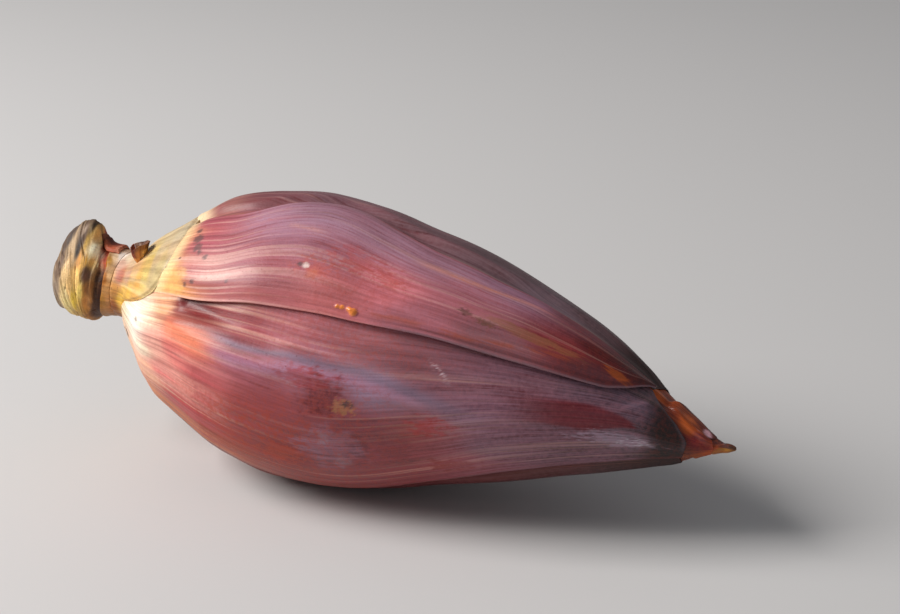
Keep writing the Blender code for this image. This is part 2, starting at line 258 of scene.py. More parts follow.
def to_row(x, radius, around):
    """The point at a distance x along the axis from the neck, in the row's frame, above z = 0."""
    angle = np.radians(around)
    y = -radius * np.cos(angle)
    z = radius * np.sin(angle) + axis_rise_at(x / LENGTH)
    points = np.stack(
        (
            x * math.cos(TIP_DOWN) + z * math.sin(TIP_DOWN),
            y,
            z * math.cos(TIP_DOWN) - x * math.sin(TIP_DOWN),
        ),
        -1,
    )
    points = points + NECK
    points[..., 2] = np.maximum(points[..., 2], 0.0)
    return points


def on_blossom(along, around, depth):
    """The point this far below the blossom's outer surface."""
    step = 0.004
    radius = radius_at(along, around)
    rise = radius_at(along + step, around) - radius_at(along - step, around)
    run = LENGTH * (np.minimum(along + step, 1.0) - np.maximum(along - step, 0.0))
    slant = np.hypot(rise, run)
    falling = rise < 0
    x = along * LENGTH + np.where(falling, 0.0, depth * rise / slant)
    radius = radius - depth * np.where(falling, slant / run, run / slant)
    return to_row(x, np.maximum(radius, 0.0002), around)


class Bract:
    """One bract, laid out as in the CAD."""

    def __init__(self, low, high, end, under, base=None, tip=False):
        self.low, self.high, self.end = curve(low), curve(high), curve(end)
        self.base = base
        self.under = under
        self.thickness = TIP_BRACT_THICKNESS if tip else BRACT_THICKNESS
        self.tuck = 0.003 if tip else 0.005
        self.rise = 0.004 if tip else 0.005

    def start(self, around, early=0.0):
        if self.base is not None:
            return np.full(np.shape(around), self.base)
        return seam(around) + (SEAM_GAP - early) / LENGTH

    def place(self, u, v, early):
        along = blend(0.1, 0.9, u)
        around = np.zeros(u.shape)
        for _ in range(6):  # settles, because each depends on the other
            around = blend(self.low(along), self.high(along), v)
            along = blend(self.start(around, early), self.end(around), u)
        return along, around

    def distance_outside(self, along, around):
        low, high = self.low(along), self.high(along)
        middle = (low + high) / 2
        around = turned(around - middle) + middle
        beside = np.radians(np.maximum(low - around, around - high)) * radius_at(along, around)
        beyond = np.maximum(along - self.end(around), self.start(around) - along) * LENGTH
        corner = np.hypot(np.maximum(beside, 0), np.maximum(beyond, 0))
        return np.where((beside > 0) & (beyond > 0), corner, np.maximum(beside, beyond))

    def thickness_at(self, along):
        return self.thickness * blend(THIN_END, 1.0, fade(along, 0.68, 0.90))

    def depth(self, along, around):
        deepest = np.zeros(along.shape)
        for cover in self.under:
            outside = cover.distance_outside(along, around)
            covered = fade(outside, cover.tuck, cover.tuck + cover.rise)
            own = cover.depth(along, around) + cover.thickness_at(along) + LAYER_GAP
            deepest = np.maximum(deepest, covered * own)
        return deepest


upper_front = Bract(
    low=((0.10, 28), (0.20, 28.5), (0.32, 33), (0.45, 36), (0.65, 37))
    + ((0.76, 39), (0.81, 43), (0.84, 54), (0.86, 70), (0.875, 86)),
    high=((0.10, 73), (0.22, 74), (0.30, 86), (0.37, 94), (0.46, 89))
    + ((0.54, 84), (0.62, 84), (0.70, 88), (0.80, 88), (0.875, 92)),
    end=((40, 0.870), (95, 0.874)),
    under=[],
)
back = Bract(
    low=((0.08, 168), (0.35, 164), (0.65, 165), (0.80, 167), (0.895, 192)),
    high=((0.08, 238), (0.35, 240), (0.65, 245), (0.80, 242), (0.895, 212)),
    end=((168, 0.893), (202, 0.897), (246, 0.893)),
    under=[],
)
lower_front = Bract(
    low=((0.03, -58), (0.18, -46), (0.30, -52), (0.45, -62), (0.58, -56))
    + ((0.69, -43), (0.77, -38), (0.85, -34), (0.93, -30)),
    high=((0.07, 42), (0.30, 49), (0.60, 54), (0.75, 60), (0.87, 82)),
    end=((-36, 0.930), (15, 0.935), (45, 0.919), (60, 0.895), (84, 0.868)),
    under=[upper_front],
)
top = Bract(
    low=((0.08, 57), (0.30, 68), (0.60, 70), (0.80, 74), (0.88, 98)),
    high=((0.08, 184), (0.35, 180), (0.65, 180), (0.80, 172), (0.88, 148)),
    end=((60, 0.868), (100, 0.870), (140, 0.884), (184, 0.884)),
    under=[upper_front, back],
)
underside = Bract(
    low=((0.03, -132), (0.35, -133), (0.65, -130), (0.80, -128), (0.925, -98)),
    high=((0.03, -42), (0.18, -30), (0.30, -36), (0.45, -46), (0.58, -40))
    + ((0.69, -28), (0.77, -24), (0.85, -26), (0.925, -52)),
    end=((-130, 0.918), (-78, 0.926), (-30, 0.918)),
    under=[lower_front, back],
)
outer_bracts = [upper_front, back, lower_front, top, underside]
tip_front = Bract(
    low=((0.76, -60), (0.90, -56), (0.965, -34)),
    high=((0.76, 82), (0.91, 78), (0.965, 52)),
    end=((-60, 0.964), (0, 0.970), (80, 0.962)),
    under=outer_bracts,
    base=0.76,
    tip=True,
)
tip_back = Bract(
    low=((0.76, 60), (0.90, 56), (0.95, 70)),
    high=((0.76, 318), (0.90, 320), (0.95, 290)),
    end=((46, 0.958), (120, 0.968), (200, 0.955), (320, 0.945)),
    under=[*outer_bracts, tip_front],
    base=0.76,
    tip=True,
)

# ---------------------------------------------------------------- swelling, fold and veins
# The upper edge of the long rounded fold of the lower front bract, and the hollow above it.
CREST = curve(
    ((0.17, 19), (0.22, 17.8), (0.29, 15.3), (0.32, 14.4), (0.35, 14.5), (0.40, 16.2))
    + ((0.48, 16.6), (0.54, 14.6), (0.60, 9.5), (0.65, 5.7), (0.72, 1.8), (0.80, -2))
)
SOFT_MEETING = 0.0007  # how softly the hollow runs into the step below the upper bract
HOLLOW_DEPTH = curve(
    ((0.17, 0.0044), (0.21, 0.0044), (0.30, 0.0038), (0.40, 0.0034))
    + ((0.50, 0.0028), (0.60, 0.0019), (0.70, 0.0010))
)


def swell(along, around):
    """Slow rises and dips that all layers share."""
    wave = cloud(along * 8, turned(around) / 40 + 4.5, 11, 2, 9) - 0.5
    return 0.0011 * wave * np.minimum(radius_at(along, around) / 0.05, 1.0)


def fold(along, around):
    """(how far above the crest, how strong the fold is)."""
    above = np.radians(around - CREST(along)) * radius_at(along, around)
    strength = held(along, 0.172, 0.200, 0.58, 0.74)
    return above, strength


def veins(across, along, seed):
    """Fine ridges along a bract, from about -1 to 1. Across is in degrees."""
    fine = noise(across * 0.8, along * 3, seed) + 0.7 * noise(across * 0.33, along * 2, seed + 1)
    return fine / 0.85 - 1.0


# ---------------------------------------------------------------- meshes
PACKED = np.array((0.0, 0.0011, 0.0027, 0.0050, 0.0085, 0.0130))


def shares(count, ends=(True, True)):
    """Shares from 0 to 1, packed closely at the chosen ends."""
    first = PACKED[:-1] if ends[0] else np.array(())
    last = 1 - PACKED[-2::-1] if ends[1] else np.array(())
    start = PACKED[-1] if ends[0] else 0.0
    stop = 1 - PACKED[-1] if ends[1] else 1.0
    return np.concatenate((first, np.linspace(start, stop, count - len(first) - len(last)), last))


def add_attribute(mesh, name, kind, values):
    made = mesh.attributes.new(name, kind, "POINT")
    field = "color" if kind == "FLOAT_COLOR" else "vector"
    made.data.foreach_set(field, np.ascontiguousarray(values, np.float32).ravel())


def finish_piece(node, points, faces, paint, slot):
    """Makes the object that stands for a CAD node. paint holds tint, marks and grain."""
    name = node + "_skin"
    mesh = bpy.data.meshes.new(name)
    mesh.from_pydata(points, [], faces)
    mesh.shade_smooth()
    colours = np.concatenate((np.clip(paint["tint"], 0.0, 1.0), np.ones((len(points), 1))), 1)
    add_attribute(mesh, "tint", "FLOAT_COLOR", colours)
    add_attribute(mesh, "marks", "FLOAT_COLOR", np.clip(paint["marks"], 0.0, 1.0))
    add_attribute(mesh, "grain", "FLOAT_VECTOR", paint["grain"])
    add_attribute(mesh, "spot", "FLOAT_VECTOR", points * MILLIMETRES)
    mesh.materials.append(materials[slot])
    made = bpy.data.objects.new(name, mesh)
    bpy.context.scene.collection.objects.link(made)
    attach(made, "root")
    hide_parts(node)


def grid_faces(indices):
    """Four-sided faces between the neighbours of a grid of indices."""
    a, b = indices[:-1, :-1], indices[:-1, 1:]
    c, d = indices[1:, 1:], indices[1:, :-1]
    return np.stack((a, d, c, b), -1).reshape(-1, 4)


def border(indices):
    """The indices round the edge of a grid, as a closed run."""
    return np.concatenate((indices[0, :-1], indices[:-1, -1], indices[-1, :0:-1], indices[::-1, 0]))


def even_rows(values):
    """The values at every second row and column."""
    return values[::2, ::2]


def sheet_piece(node, outer, thickness, paint, slot):
    """A closed curved sheet. Its hidden inner face has half as many rows and columns."""
    rows, columns = outer.shape[:2]
    normal = np.cross(np.gradient(outer, axis=0), np.gradient(outer, axis=1))
    normal /= np.maximum(np.linalg.norm(normal, axis=-1, keepdims=True), 1e-12)
    inner = even_rows(outer - normal * thickness[..., None])
    inner[..., 2] = np.maximum(inner[..., 2], 0.0)
    outside = np.arange(rows * columns).reshape(rows, columns)
    inside = np.arange(inner.shape[0] * inner.shape[1]).reshape(inner.shape[:2]) + outside.size
    quads = np.concatenate((grid_faces(outside), grid_faces(inside)[:, ::-1]))
    rim_out, rim_in = border(outside), border(inside)
    a, b = rim_in[:-1], rim_in[1:]
    o0, o1, o2 = rim_out[:-1:2], rim_out[1::2], rim_out[2::2]
    rim = np.concatenate(
        (np.stack((o0, o1, a), -1), np.stack((a, o1, b), -1), np.stack((o1, o2, b), -1))
    )
    points = np.concatenate((outer.reshape(-1, 3), inner.reshape(-1, 3)))
    both = {
        key: np.concatenate(
            (value.reshape(outside.size, -1), even_rows(value).reshape(inside.size, -1))
        )
        for key, value in paint.items()
    }
    finish_piece(node, points, quads.tolist() + rim.tolist(), both, slot)


def round_piece(node, rings, start, end, paint, slot):
    """A closed body of rings of points, with one point at each end."""
    count, sides = rings.shape[:2]
    indices = np.arange(count * sides).reshape(count, sides)
    indices = np.concatenate((indices, indices[:, :1]), 1)
    faces = grid_faces(indices).tolist()
    first, last = count * sides, count * sides + 1
    faces += [(first, indices[0, i], indices[0, i + 1]) for i in range(sides)]
    faces += [(last, indices[-1, i + 1], indices[-1, i]) for i in range(sides)]
    faces = [[int(i) for i in face] for face in faces]
    points = np.concatenate((rings.reshape(-1, 3), start[None], end[None]))
    both = {
        key: np.concatenate(
            (value.reshape(count * sides, -1), value[0].mean(0)[None], value[-1].mean(0)[None])
        )
        for key, value in paint.items()
    }
    finish_piece(node, points, faces, both, slot)


# ---------------------------------------------------------------- materials


def add_node(tree, kind, inputs=(), **settings):
    made = tree.nodes.new("ShaderNode" + kind)
    for key, value in settings.items():
        setattr(made, key, value)
    for key, value in dict(inputs).items():
        if isinstance(value, bpy.types.NodeSocket):
            tree.links.new(value, made.inputs[key])
        else:
            made.inputs[key].default_value = value
    return made


PIT_COLOUR = (62, 30, 26)


def living_material(name, roughness, streak, coat, bloom_colour, rust_colour, bump):
    """Plant tissue. The attribute marks holds bloom, rust and wetness."""
    material = bpy.data.materials.new(name)
    material.use_nodes = True
    tree = material.node_tree
    shader = tree.nodes["Principled BSDF"]
    shader.inputs["Coat Weight"].default_value = coat
    shader.inputs["Coat Roughness"].default_value = 0.3
    shader.inputs["Specular IOR Level"].default_value = 0.34
    tint_at = add_node(tree, "Attribute", attribute_name="tint").outputs["Color"]
    marks = add_node(tree, "Attribute", attribute_name="marks")
    marks_at = add_node(tree, "SeparateColor", {"Color": marks.outputs["Color"]})
    bloom, rust, wet = (marks_at.outputs[key] for key in ("Red", "Green", "Blue"))
    grain = add_node(tree, "Attribute", attribute_name="grain").outputs["Vector"]
    spot = add_node(tree, "Attribute", attribute_name="spot").outputs["Vector"]

    def texture(vector, scale, detail=2.0, roughness=0.5):
        scaled = add_node(tree, "VectorMath", {0: vector, 1: scale}, operation="MULTIPLY")
        inputs = {"Vector": scaled.outputs[0], "Scale": 1.0, "Detail": detail, "Roughness": roughness}
        return add_node(tree, "TexNoise", inputs).outputs["Fac"]

    def remap(value, low, high, to_low=0.0, to_high=1.0):
        inputs = {"Value": value, "From Min": low, "From Max": high, "To Min": to_low, "To Max": to_high}
        return add_node(tree, "MapRange", inputs, clamp=True).outputs["Result"]

    def times(a, b):
        return add_node(tree, "Math", {0: a, 1: b}, operation="MULTIPLY").outputs[0]

    def plus(a, b):
        return add_node(tree, "Math", {0: a, 1: b}, operation="ADD").outputs[0]

    def mix(weight, a, b):
        mixed = add_node(tree, "Mix", {0: weight, 6: a, 7: b}, data_type="RGBA")
        return mixed.outputs[2]

    fine = texture(grain, (1.0, 1.0, 1.0), 3.0, 0.6)
    broad = texture(grain, (0.28, 0.35, 0.28))
    dots = texture(spot, (1.9, 1.9, 1.9))
    clots = texture(spot, (0.55, 0.55, 0.55), 3.0, 0.65)

    shade = remap(fine, 0.3, 0.7, 1 - streak, 1 + streak)
    shade = plus(shade, remap(broad, 0.3, 0.7, -streak * 0.6, streak * 0.6))
    shade = plus(shade, remap(dots, 0.3, 0.7, -0.07, 0.07))
    colour = add_node(tree, "VectorMath", {0: tint_at, "Scale": shade}, operation="SCALE").outputs[0]
    bloomed = times(bloom, remap(plus(times(fine, 0.6), times(clots, 0.4)), 0.36, 0.62))
    colour = mix(bloomed, colour, (*rgb(*bloom_colour), 1.0))
    rusty = times(rust, remap(plus(times(clots, 0.7), times(dots, 0.3)), 0.46, 0.58))
    colour = mix(rusty, colour, (*rgb(*rust_colour), 1.0))
    pits = times(remap(dots, 0.665, 0.72), remap(clots, 0.48, 0.6))
    colour = mix(times(pits, 0.6), colour, (*rgb(*PIT_COLOUR), 1.0))
    tree.links.new(colour, shader.inputs["Base Color"])

    rough = remap(fine, 0.3, 0.7, roughness - 0.05, roughness + 0.07)
    rough = plus(plus(rough, times(bloomed, 0.14)), times(wet, -0.28))
    tree.links.new(rough, shader.inputs["Roughness"])
    height = plus(plus(times(fine, 0.55), times(dots, 0.22)), plus(times(clots, 0.5), times(pits, -0.5)))
    bumped = add_node(tree, "Bump", {"Height": height, "Strength": bump, "Distance": 0.00035})
    tree.links.new(bumped.outputs["Normal"], shader.inputs["Normal"])
    return material


# Roughness, how streaked, coat, the colours of bloom and rust, and the bump of each.
LOOKS = {
    "bract_rose": (0.42, 0.20, 0.06, (178, 148, 172), (176, 62, 36), 0.55),
    "bract_dark": (0.44, 0.18, 0.06, (150, 132, 144), (128, 56, 40), 0.55),
    "bract_tip": (0.36, 0.18, 0.10, (150, 110, 120), (170, 74, 30), 0.5),
    "stalk": (0.55, 0.26, 0.0, (214, 196, 160), (98, 60, 30), 0.9),
    "dry_bract": (0.6, 0.3, 0.0, (170, 140, 100), (60, 30, 20), 0.9),
    "bud": (0.4, 0.2, 0.1, (200, 160, 90), (170, 70, 30), 0.5),
}
materials = {slot: living_material(slot, *look) for slot, look in LOOKS.items()}

# ---------------------------------------------------------------- bracts
OVERLAP = 0.0030  # how far a bract's base reaches over the flare, where it grows into it
CENTRE_THICKNESS = 0.0014
MARGIN_THICKNESS = 0.0007
MARGIN_WIDTH = 0.008  # how far in from its edges a bract reaches its full thickness
TIP_SHARE = 0.7  # how thick the bracts of the tip are, as a share of the others
GRAIN_PER_DEGREE = 0.95  # how much a bract's grain changes across it
GRAIN_LENGTH = 22  # and over how many millimetres along it


def lay_out(bract, rows, columns):
    """Everything that the shape and the paint of a bract depend on, over its grid."""
    early = 0.0 if bract.base is not None else OVERLAP
    u, v = np.meshgrid(shares(rows, (False, True)), shares(columns), indexing="ij")
    along, around = bract.place(u, v, early)
    radius = radius_at(along, around)
    low, high = bract.low(along), bract.high(along)
    width = float(np.median(high - low))
    return SimpleNamespace(
        v=v,
        along=along,
        around=around,
        across=v * width,
        from_low=np.radians(around - low) * radius,
        from_high=np.radians(high - around) * radius,
        from_end=(bract.end(around) - along) * LENGTH,
        from_base=(along - bract.start(around, early)) * LENGTH,
    )


def make_bract(node, bract, counts, relief, painting, slot, number):
    at = lay_out(bract, *counts)
    along, around = at.along, at.around
    sides = np.minimum(at.from_low, at.from_high)
    from_edge = np.minimum(sides, at.from_end)
    thin = bract.thickness_at(along) / bract.thickness
    thickness = blend(MARGIN_THICKNESS, CENTRE_THICKNESS, grow(from_edge, 0.0, MARGIN_WIDTH)) * thin
    if bract.base is not None:
        thickness = thickness * TIP_SHARE
    rounding = 0.6 * thickness
    rounded = np.sqrt(np.clip(1 - (1 - np.clip(from_edge / rounding, 0, 1)) ** 2, 0, 1))
    lift = swell(along, around) + relief(at) - 0.55 * thickness * (1 - rounded)
    if bract.base is None:  # the base thins out on the flare that it grows from
        lift = lift + 0.0002 * fade(at.from_base, 0.002, 0.006)
        lift = lift - 0.0010 * fade(at.from_base, 0.0, 0.0017)
        thickness = thickness * blend(0.3, 1.0, grow(at.from_base, 0.0, 0.005))
    thickness = thickness * blend(0.45, 1.0, rounded)
    outer = on_blossom(along, around, bract.depth(along, around) - lift)
    colours, marks = painting(at)
    own_part = np.full(along.shape, number * 7.3)  # so that no two bracts have the same grain
    lengthwise = along * LENGTH * MILLIMETRES / GRAIN_LENGTH
    grain = np.stack((at.across * GRAIN_PER_DEGREE, lengthwise, own_part), -1)
    sheet_piece(node, outer, thickness, {"tint": colours, "marks": marks, "grain": grain}, slot)


def streaked(colours, at, seed, light, dark, strength):
    """Light and dark streaks along a bract, in bunches."""
    across, along = at.across, at.along
    fine = noise(across * 0.75, along * 3.2, seed)
    fine = 0.6 * fine + 0.4 * noise(across * 1.9, along * 6, seed + 1)
    bunch = noise(across * 0.16, along * 5, seed + 2)
    pale = grow(fine, 0.55, 0.75) * grow(bunch, 0.25, 0.7) * strength
    deep = fade(fine, 0.27, 0.46) * strength
    return tint(colours, (light, 0.55 * pale), (dark, 0.45 * deep))


# Dried drops of orange sap on the upper front bract: along, around, radius, height.
DROPS = (
    (0.4655, 39.6, 0.0015, 0.0010),
    (0.4590, 40.3, 0.0010, 0.0007),
    (0.4415, 40.2, 0.0008, 0.0006),
    (0.4480, 40.4, 0.0009, 0.0004),
)


def from_drops(at):
    """For each drop, how far off each place is as a share of its radius, and its height."""
    for drop_along, drop_around, radius, height in DROPS:
        beside = np.radians(at.around - drop_around) * radius_at(at.along, at.around)
        yield np.hypot((at.along - drop_along) * LENGTH, beside) / radius, height


def upper_front_relief(at):
    along = at.along
    low, high = at.from_low, at.from_high
    ridges = 0.00009 * veins(at.across, along, 31) * grow(low, 0.0, 0.004) * grow(high, 0.0, 0.004)
    pressed = -0.0019 * fade(low, 0.0, 0.0085) * fade(along, 0.38, 0.50)
    lifted = 0.0004 * fade(low, 0.0, 0.006) * held(along, 0.48, 0.58, 0.80, 0.86)
    top_edge = -0.0006 * fade(high, 0.0, 0.005)
    keel = 0.0005 * hump(at.v, 0.52, 0.22) * grow(along, 0.3, 0.5)
    drops = sum(height * np.sqrt(np.clip(1 - off**2, 0, 1)) for off, height in from_drops(at))
    return ridges + pressed + lifted + top_edge + keel + drops


UPPER_FRONT_STOPS = (
    (0.14, 40, (236, 184, 120)), (0.17, 33, (240, 165, 92)), (0.15, 60, (216, 142, 108)),
    (0.20, 40, (196, 106, 104)), (0.20, 55, (168, 74, 86)), (0.19, 70, (168, 78, 90)),
    (0.28, 35, (184, 98, 94)), (0.30, 48, (166, 78, 86)), (0.33, 66, (180, 114, 130)),
    (0.36, 85, (158, 104, 120)), (0.40, 60, (162, 94, 106)), (0.42, 45, (190, 104, 106)),
    (0.45, 80, (156, 102, 118)), (0.53, 75, (154, 98, 113)), (0.50, 55, (212, 116, 124)),
    (0.55, 42, (176, 106, 118)), (0.62, 62, (174, 96, 106)), (0.66, 82, (152, 98, 120)),
    (0.66, 45, (142, 92, 100)), (0.74, 60, (134, 46, 50)), (0.76, 80, (118, 56, 66)),
    (0.80, 70, (90, 20, 22)), (0.80, 50, (94, 48, 54)), (0.85, 75, (74, 26, 28)),
)
# Dark specks near the upper front bract's base: along, around, size.
SPECKS = (
    (0.174, 62.5, 0.006), (0.189, 52.5, 0.008), (0.212, 47.8, 0.005), (0.181, 57.5, 0.010),
    (0.197, 50.0, 0.005), (0.266, 38.8, 0.003), (0.192, 34.4, 0.004), (0.205, 36.0, 0.004),
    (0.163, 47.0, 0.003),
)
# Its rust, a pale and a dark mark, scabs and an olive streak.
UPPER_FRONT_BLOTCHES = (
    ((186, 62, 44), 0.5, (0.455, 61), (0.045, 5), 71, 1.3, (150, 1.3)),
    ((198, 84, 60), 0.45, (0.39, 53), (0.03, 4), 72, 1.3, (190, 1.5)),
    ((190, 76, 58), 0.45, (0.50, 56), (0.02, 3), 82, 1.3, (190, 1.5)),
    ((176, 52, 44), 0.5, (0.425, 66), (0.012, 3), 73, 0.8, (150, 1)),
    ((206, 110, 80), 0.6, (0.39, 50), (0.012, 2.5), 74, 0.5, (200, 1)),
    ((236, 214, 205), 0.9, (0.376, 52.4), (0.006, 1.4), 75, 0.3, (300, 1)),
    ((74, 62, 56), 0.8, (0.368, 52.2), (0.005, 1.2), 76, 0.4, (300, 1)),
    ((92, 54, 40), 0.75, (0.612, 54.3), (0.011, 2.0), 77, 0.9, (300, 1.5)),
    ((104, 72, 46), 0.7, (0.644, 52.6), (0.014, 2.0), 78, 0.9, (300, 1.5)),
    ((150, 96, 58), 0.6, (0.70, 56.5), (0.075, 3.4), 79, 0.8, (60, 1.3)),
)


def upper_front_paint(at):
    along, around, low, high = at.along, at.around, at.from_low, at.from_high
    colours = zones(along, around, UPPER_FRONT_STOPS)
    base = blend(0.35, 1.0, fade(along, 0.24, 0.42))
    colours = streaked(colours, at, 41, (240, 190, 175), (120, 50, 60), base)
    pale_lines = grow(noise(at.across * 0.9, along * 4, 45), 0.66, 0.8) * hump(along, 0.235, 0.05)
    seam_dots = grow(noise(along * 30, around * 0.42, 47), 0.45, 0.6)
    colours = tint(
        colours,
        ((245, 205, 190), 0.7 * pale_lines * hump(around, 40, 12)),
        ((250, 190, 110), 0.7 * patch(at, (0.158, 36), (0.035, 7), 51, 0.5, (60, 0.5))),
        ((248, 222, 165), 0.75 * fade(at.from_base, 0.002, 0.010)),
        ((70, 62, 60), 0.75 * seam_dots * hump(at.from_base, 0.0012, 0.0008)),
    )
    for seed, (*middle, size) in enumerate(SPECKS, 60):
        speck = patch(at, middle, (size, size * 300), seed, 0.45, (400, 2.2))
        colours = tint(colours, ((78, 62, 60), 0.75 * speck))
    colours = blotched(colours, at, UPPER_FRONT_BLOTCHES)
    orange = hump(around, 41.1 + 12 * grow(along, 0.60, 0.80), 1.6)
    orange = orange * held(along, 0.46, 0.52, 0.74, 0.80)
    salmon = hump(around, 71 + 9 * grow(along, 0.58, 0.74), 1.3)
    salmon = salmon * held(along, 0.50, 0.54, 0.66, 0.74)
    short_salmon = hump(around, 69.5, 1.2) * held(along, 0.31, 0.33, 0.36, 0.39)
    # The grey line along the lower edge is a painted highlight, where the edge catches the light.
    low_rim = fade(low, 0.0003, 0.0012) * grow(along, 0.48, 0.56)
    above_rim = hump(low, 0.0022, 0.0008) * grow(along, 0.45, 0.6)
    high_rim = fade(high, 0.0004, 0.0022) * held(along, 0.40, 0.46, 0.64, 0.72)
    drops = np.max([fade(off, 0.85, 1.15) for off, _ in from_drops(at)], axis=0)
    colours = tint(
        colours,
        ((168, 78, 46), 0.55 * orange * grow(noise(along * 40, around, 80), 0.25, 0.6)),
        ((226, 140, 112), 0.65 * salmon),
        ((222, 150, 128), 0.6 * short_salmon),
        ((176, 84, 34), 0.85 * patch(at, (0.828, 61), (0.022, 4.5), 81, 0.7, (120, 1.0))),
        ((128, 100, 110), 0.75 * low_rim),
        ((72, 30, 36), 0.5 * above_rim),
        ((150, 44, 40), 0.6 * high_rim),
        ((236, 138, 62), 0.95 * drops),
    )
    bloom = 0.55 * hump(around, 74, 16) * held(along, 0.20, 0.27, 0.62, 0.78)
    bloom = bloom + 0.22 * hump(along, 0.30, 0.08)
    rust = 0.22 * hump(along, 0.44, 0.10) * hump(around, 55, 14) + 0.12
    wet = 0.9 * drops + 0.35 * grow(along, 0.72, 0.8)
    return colours, marks_of(along.shape, bloom * (1 - drops), rust * (1 - drops), wet)


def lower_front_relief(at):
    along, around = at.along, at.around
    above, strength = fold(along, around)
    hollow = HOLLOW_DEPTH(along) * grow(above, -0.0006, 0.0085) * strength
    step = lower_front.depth(along, around)
    spare = hollow - step
    hollow = 0.5 * (spare + np.hypot(spare, SOFT_MEETING) + step - np.hypot(step, SOFT_MEETING))
    crest = 0.0013 * hump(above, -0.0036, 0.0036) * strength
    ribs = noise(at.across * 0.17, along * 3, 91) + 0.5 * noise(at.across * 0.42, along * 5, 92)
    ribs = 0.0010 * (ribs / 1.5 - 0.5) * held(along, 0.05, 0.11, 0.22, 0.34)
    ridges = 0.00009 * veins(at.across, along, 33) * grow(at.from_low, 0.0, 0.004)
    bulge = 0.0008 * hump(along, 0.105, 0.035) * hump(around, 10, 18)
    edge = -0.0006 * fade(at.from_low, 0.0, 0.005)
    return crest + ribs + ridges + bulge + edge - hollow


# The dark red stops at (0.195, 22) and (0.23, 23) are the hollow's deep red darkened as painted shade, and
# the stop at (0.52, 11) is lightened as painted sheen.
LOWER_FRONT_STOPS = (
    (0.05, 0, (248, 228, 184)), (0.09, 10, (250, 240, 214)), (0.05, -30, (238, 206, 162)),
    (0.10, -32, (216, 130, 84)), (0.115, -4, (250, 228, 196)), (0.115, 17, (250, 226, 190)),
    (0.145, 3, (232, 166, 148)), (0.13, -16, (236, 176, 144)), (0.17, -10, (220, 124, 118)),
    (0.155, 22, (240, 176, 130)), (0.20, 6, (212, 110, 106)), (0.22, 13, (236, 130, 98)),
    (0.26, -1, (188, 88, 90)), (0.21, -20, (182, 76, 78)), (0.19, -35, (158, 72, 50)),
    (0.28, -30, (140, 54, 50)), (0.33, -10, (158, 70, 72)), (0.37, 0, (148, 62, 66)),
    (0.40, -28, (140, 50, 48)), (0.195, 22, (112, 30, 34)), (0.23, 23, (122, 32, 36)),
    (0.31, 20, (160, 70, 78)), (0.28, 25, (146, 62, 70)), (0.38, 26, (180, 104, 112)),
    (0.48, 26, (170, 104, 112)), (0.56, 20, (136, 84, 92)), (0.62, 18, (124, 76, 86)),
    (0.34, 11, (178, 90, 102)), (0.42, 13, (162, 114, 134)), (0.52, 11, (154, 124, 148)),
    (0.45, 2, (142, 62, 66)), (0.50, -10, (130, 60, 68)), (0.45, -25, (138, 80, 92)),
    (0.52, -30, (140, 62, 70)), (0.60, -8, (138, 60, 60)), (0.62, -28, (148, 64, 70)),
    (0.66, 4, (124, 72, 90)), (0.70, -15, (114, 68, 80)), (0.70, 26, (112, 62, 72)),
    (0.78, 5, (94, 46, 54)), (0.80, -20, (90, 50, 58)), (0.82, 31, (92, 58, 70)),
    (0.86, 2, (110, 90, 100)), (0.87, 45, (88, 66, 80)), (0.91, 20, (38, 25, 25)),
    (0.91, -20, (44, 28, 27)), (0.90, 62, (56, 42, 38)),
)
# Its red blotch, a scab with a dark middle, and rusty, brown and whitish patches.
LOWER_FRONT_BLOTCHES = (
    ((112, 22, 22), 0.9, (0.448, 4), (0.032, 9), 151, 0.8, (110, 0.7)),
    ((168, 36, 32), 0.7, (0.425, 10), (0.045, 4), 152, 0.9, (130, 0.9)),
    ((172, 112, 70), 0.9, (0.481, 0.4), (0.018, 3.6), 153, 1.0, (260, 1.4)),
    ((58, 34, 32), 0.85, (0.486, 1.6), (0.009, 2.0), 154, 1.0, (340, 2)),
    ((170, 66, 42), 0.6, (0.30, -32), (0.060, 7), 160, 0.85, (110, 0.8)),
    ((172, 62, 40), 0.7, (0.38, -27), (0.030, 6), 161, 0.85, (110, 0.8)),
    ((166, 44, 36), 0.85, (0.60, -6), (0.030, 6), 162, 0.85, (110, 0.8)),
    ((140, 42, 30), 0.85, (0.63, -32), (0.034, 6), 163, 0.85, (110, 0.8)),
    ((180, 80, 84), 0.5, (0.26, -12), (0.025, 5), 164, 0.85, (110, 0.8)),
    ((96, 40, 50), 0.5, (0.50, -20), (0.018, 7), 165, 0.85, (110, 0.8)),
    ((150, 120, 130), 0.5, (0.45, -16), (0.010, 4), 166, 0.85, (110, 0.8)),
    ((150, 118, 128), 0.5, (0.475, -28), (0.012, 4), 167, 0.85, (110, 0.8)),
    ((112, 40, 44), 0.4, (0.55, -22), (0.030, 8), 168, 0.85, (110, 0.8)),
)


def lower_front_base(colours, at):
    """The fan of pale ribs at the base, and the streaks and dark rim on the lower left."""
    along, around, across = at.along, at.around, at.across
    ribs = noise(across * 0.30, along * 3, 143)
    rays = grow(ribs, 0.58, 0.72) * held(along, 0.10, 0.15, 0.20, 0.33)
    valleys = fade(ribs, 0.30, 0.45) * held(along, 0.12, 0.17, 0.24, 0.36)
    rim = fade(across, 2, 8) * held(along, 0.08, 0.13, 0.30, 0.44)
    streak = noise(across * 0.45, along * 6, 145)
    band = held(across, 4, 8, 14, 24) * held(along, 0.10, 0.14, 0.26, 0.36)
    return tint(
        colours,
        ((242, 170, 154), 0.45 * rays * fade(around, 8, 16)),
        ((182, 66, 72), 0.75 * valleys * fade(around, 8, 16)),
        ((84, 36, 30), 0.85 * rim),
        ((206, 124, 70), 0.7 * band * grow(streak, 0.45, 0.7)),
        ((120, 82, 52), 0.6 * band * fade(streak, 0.25, 0.42)),
    )


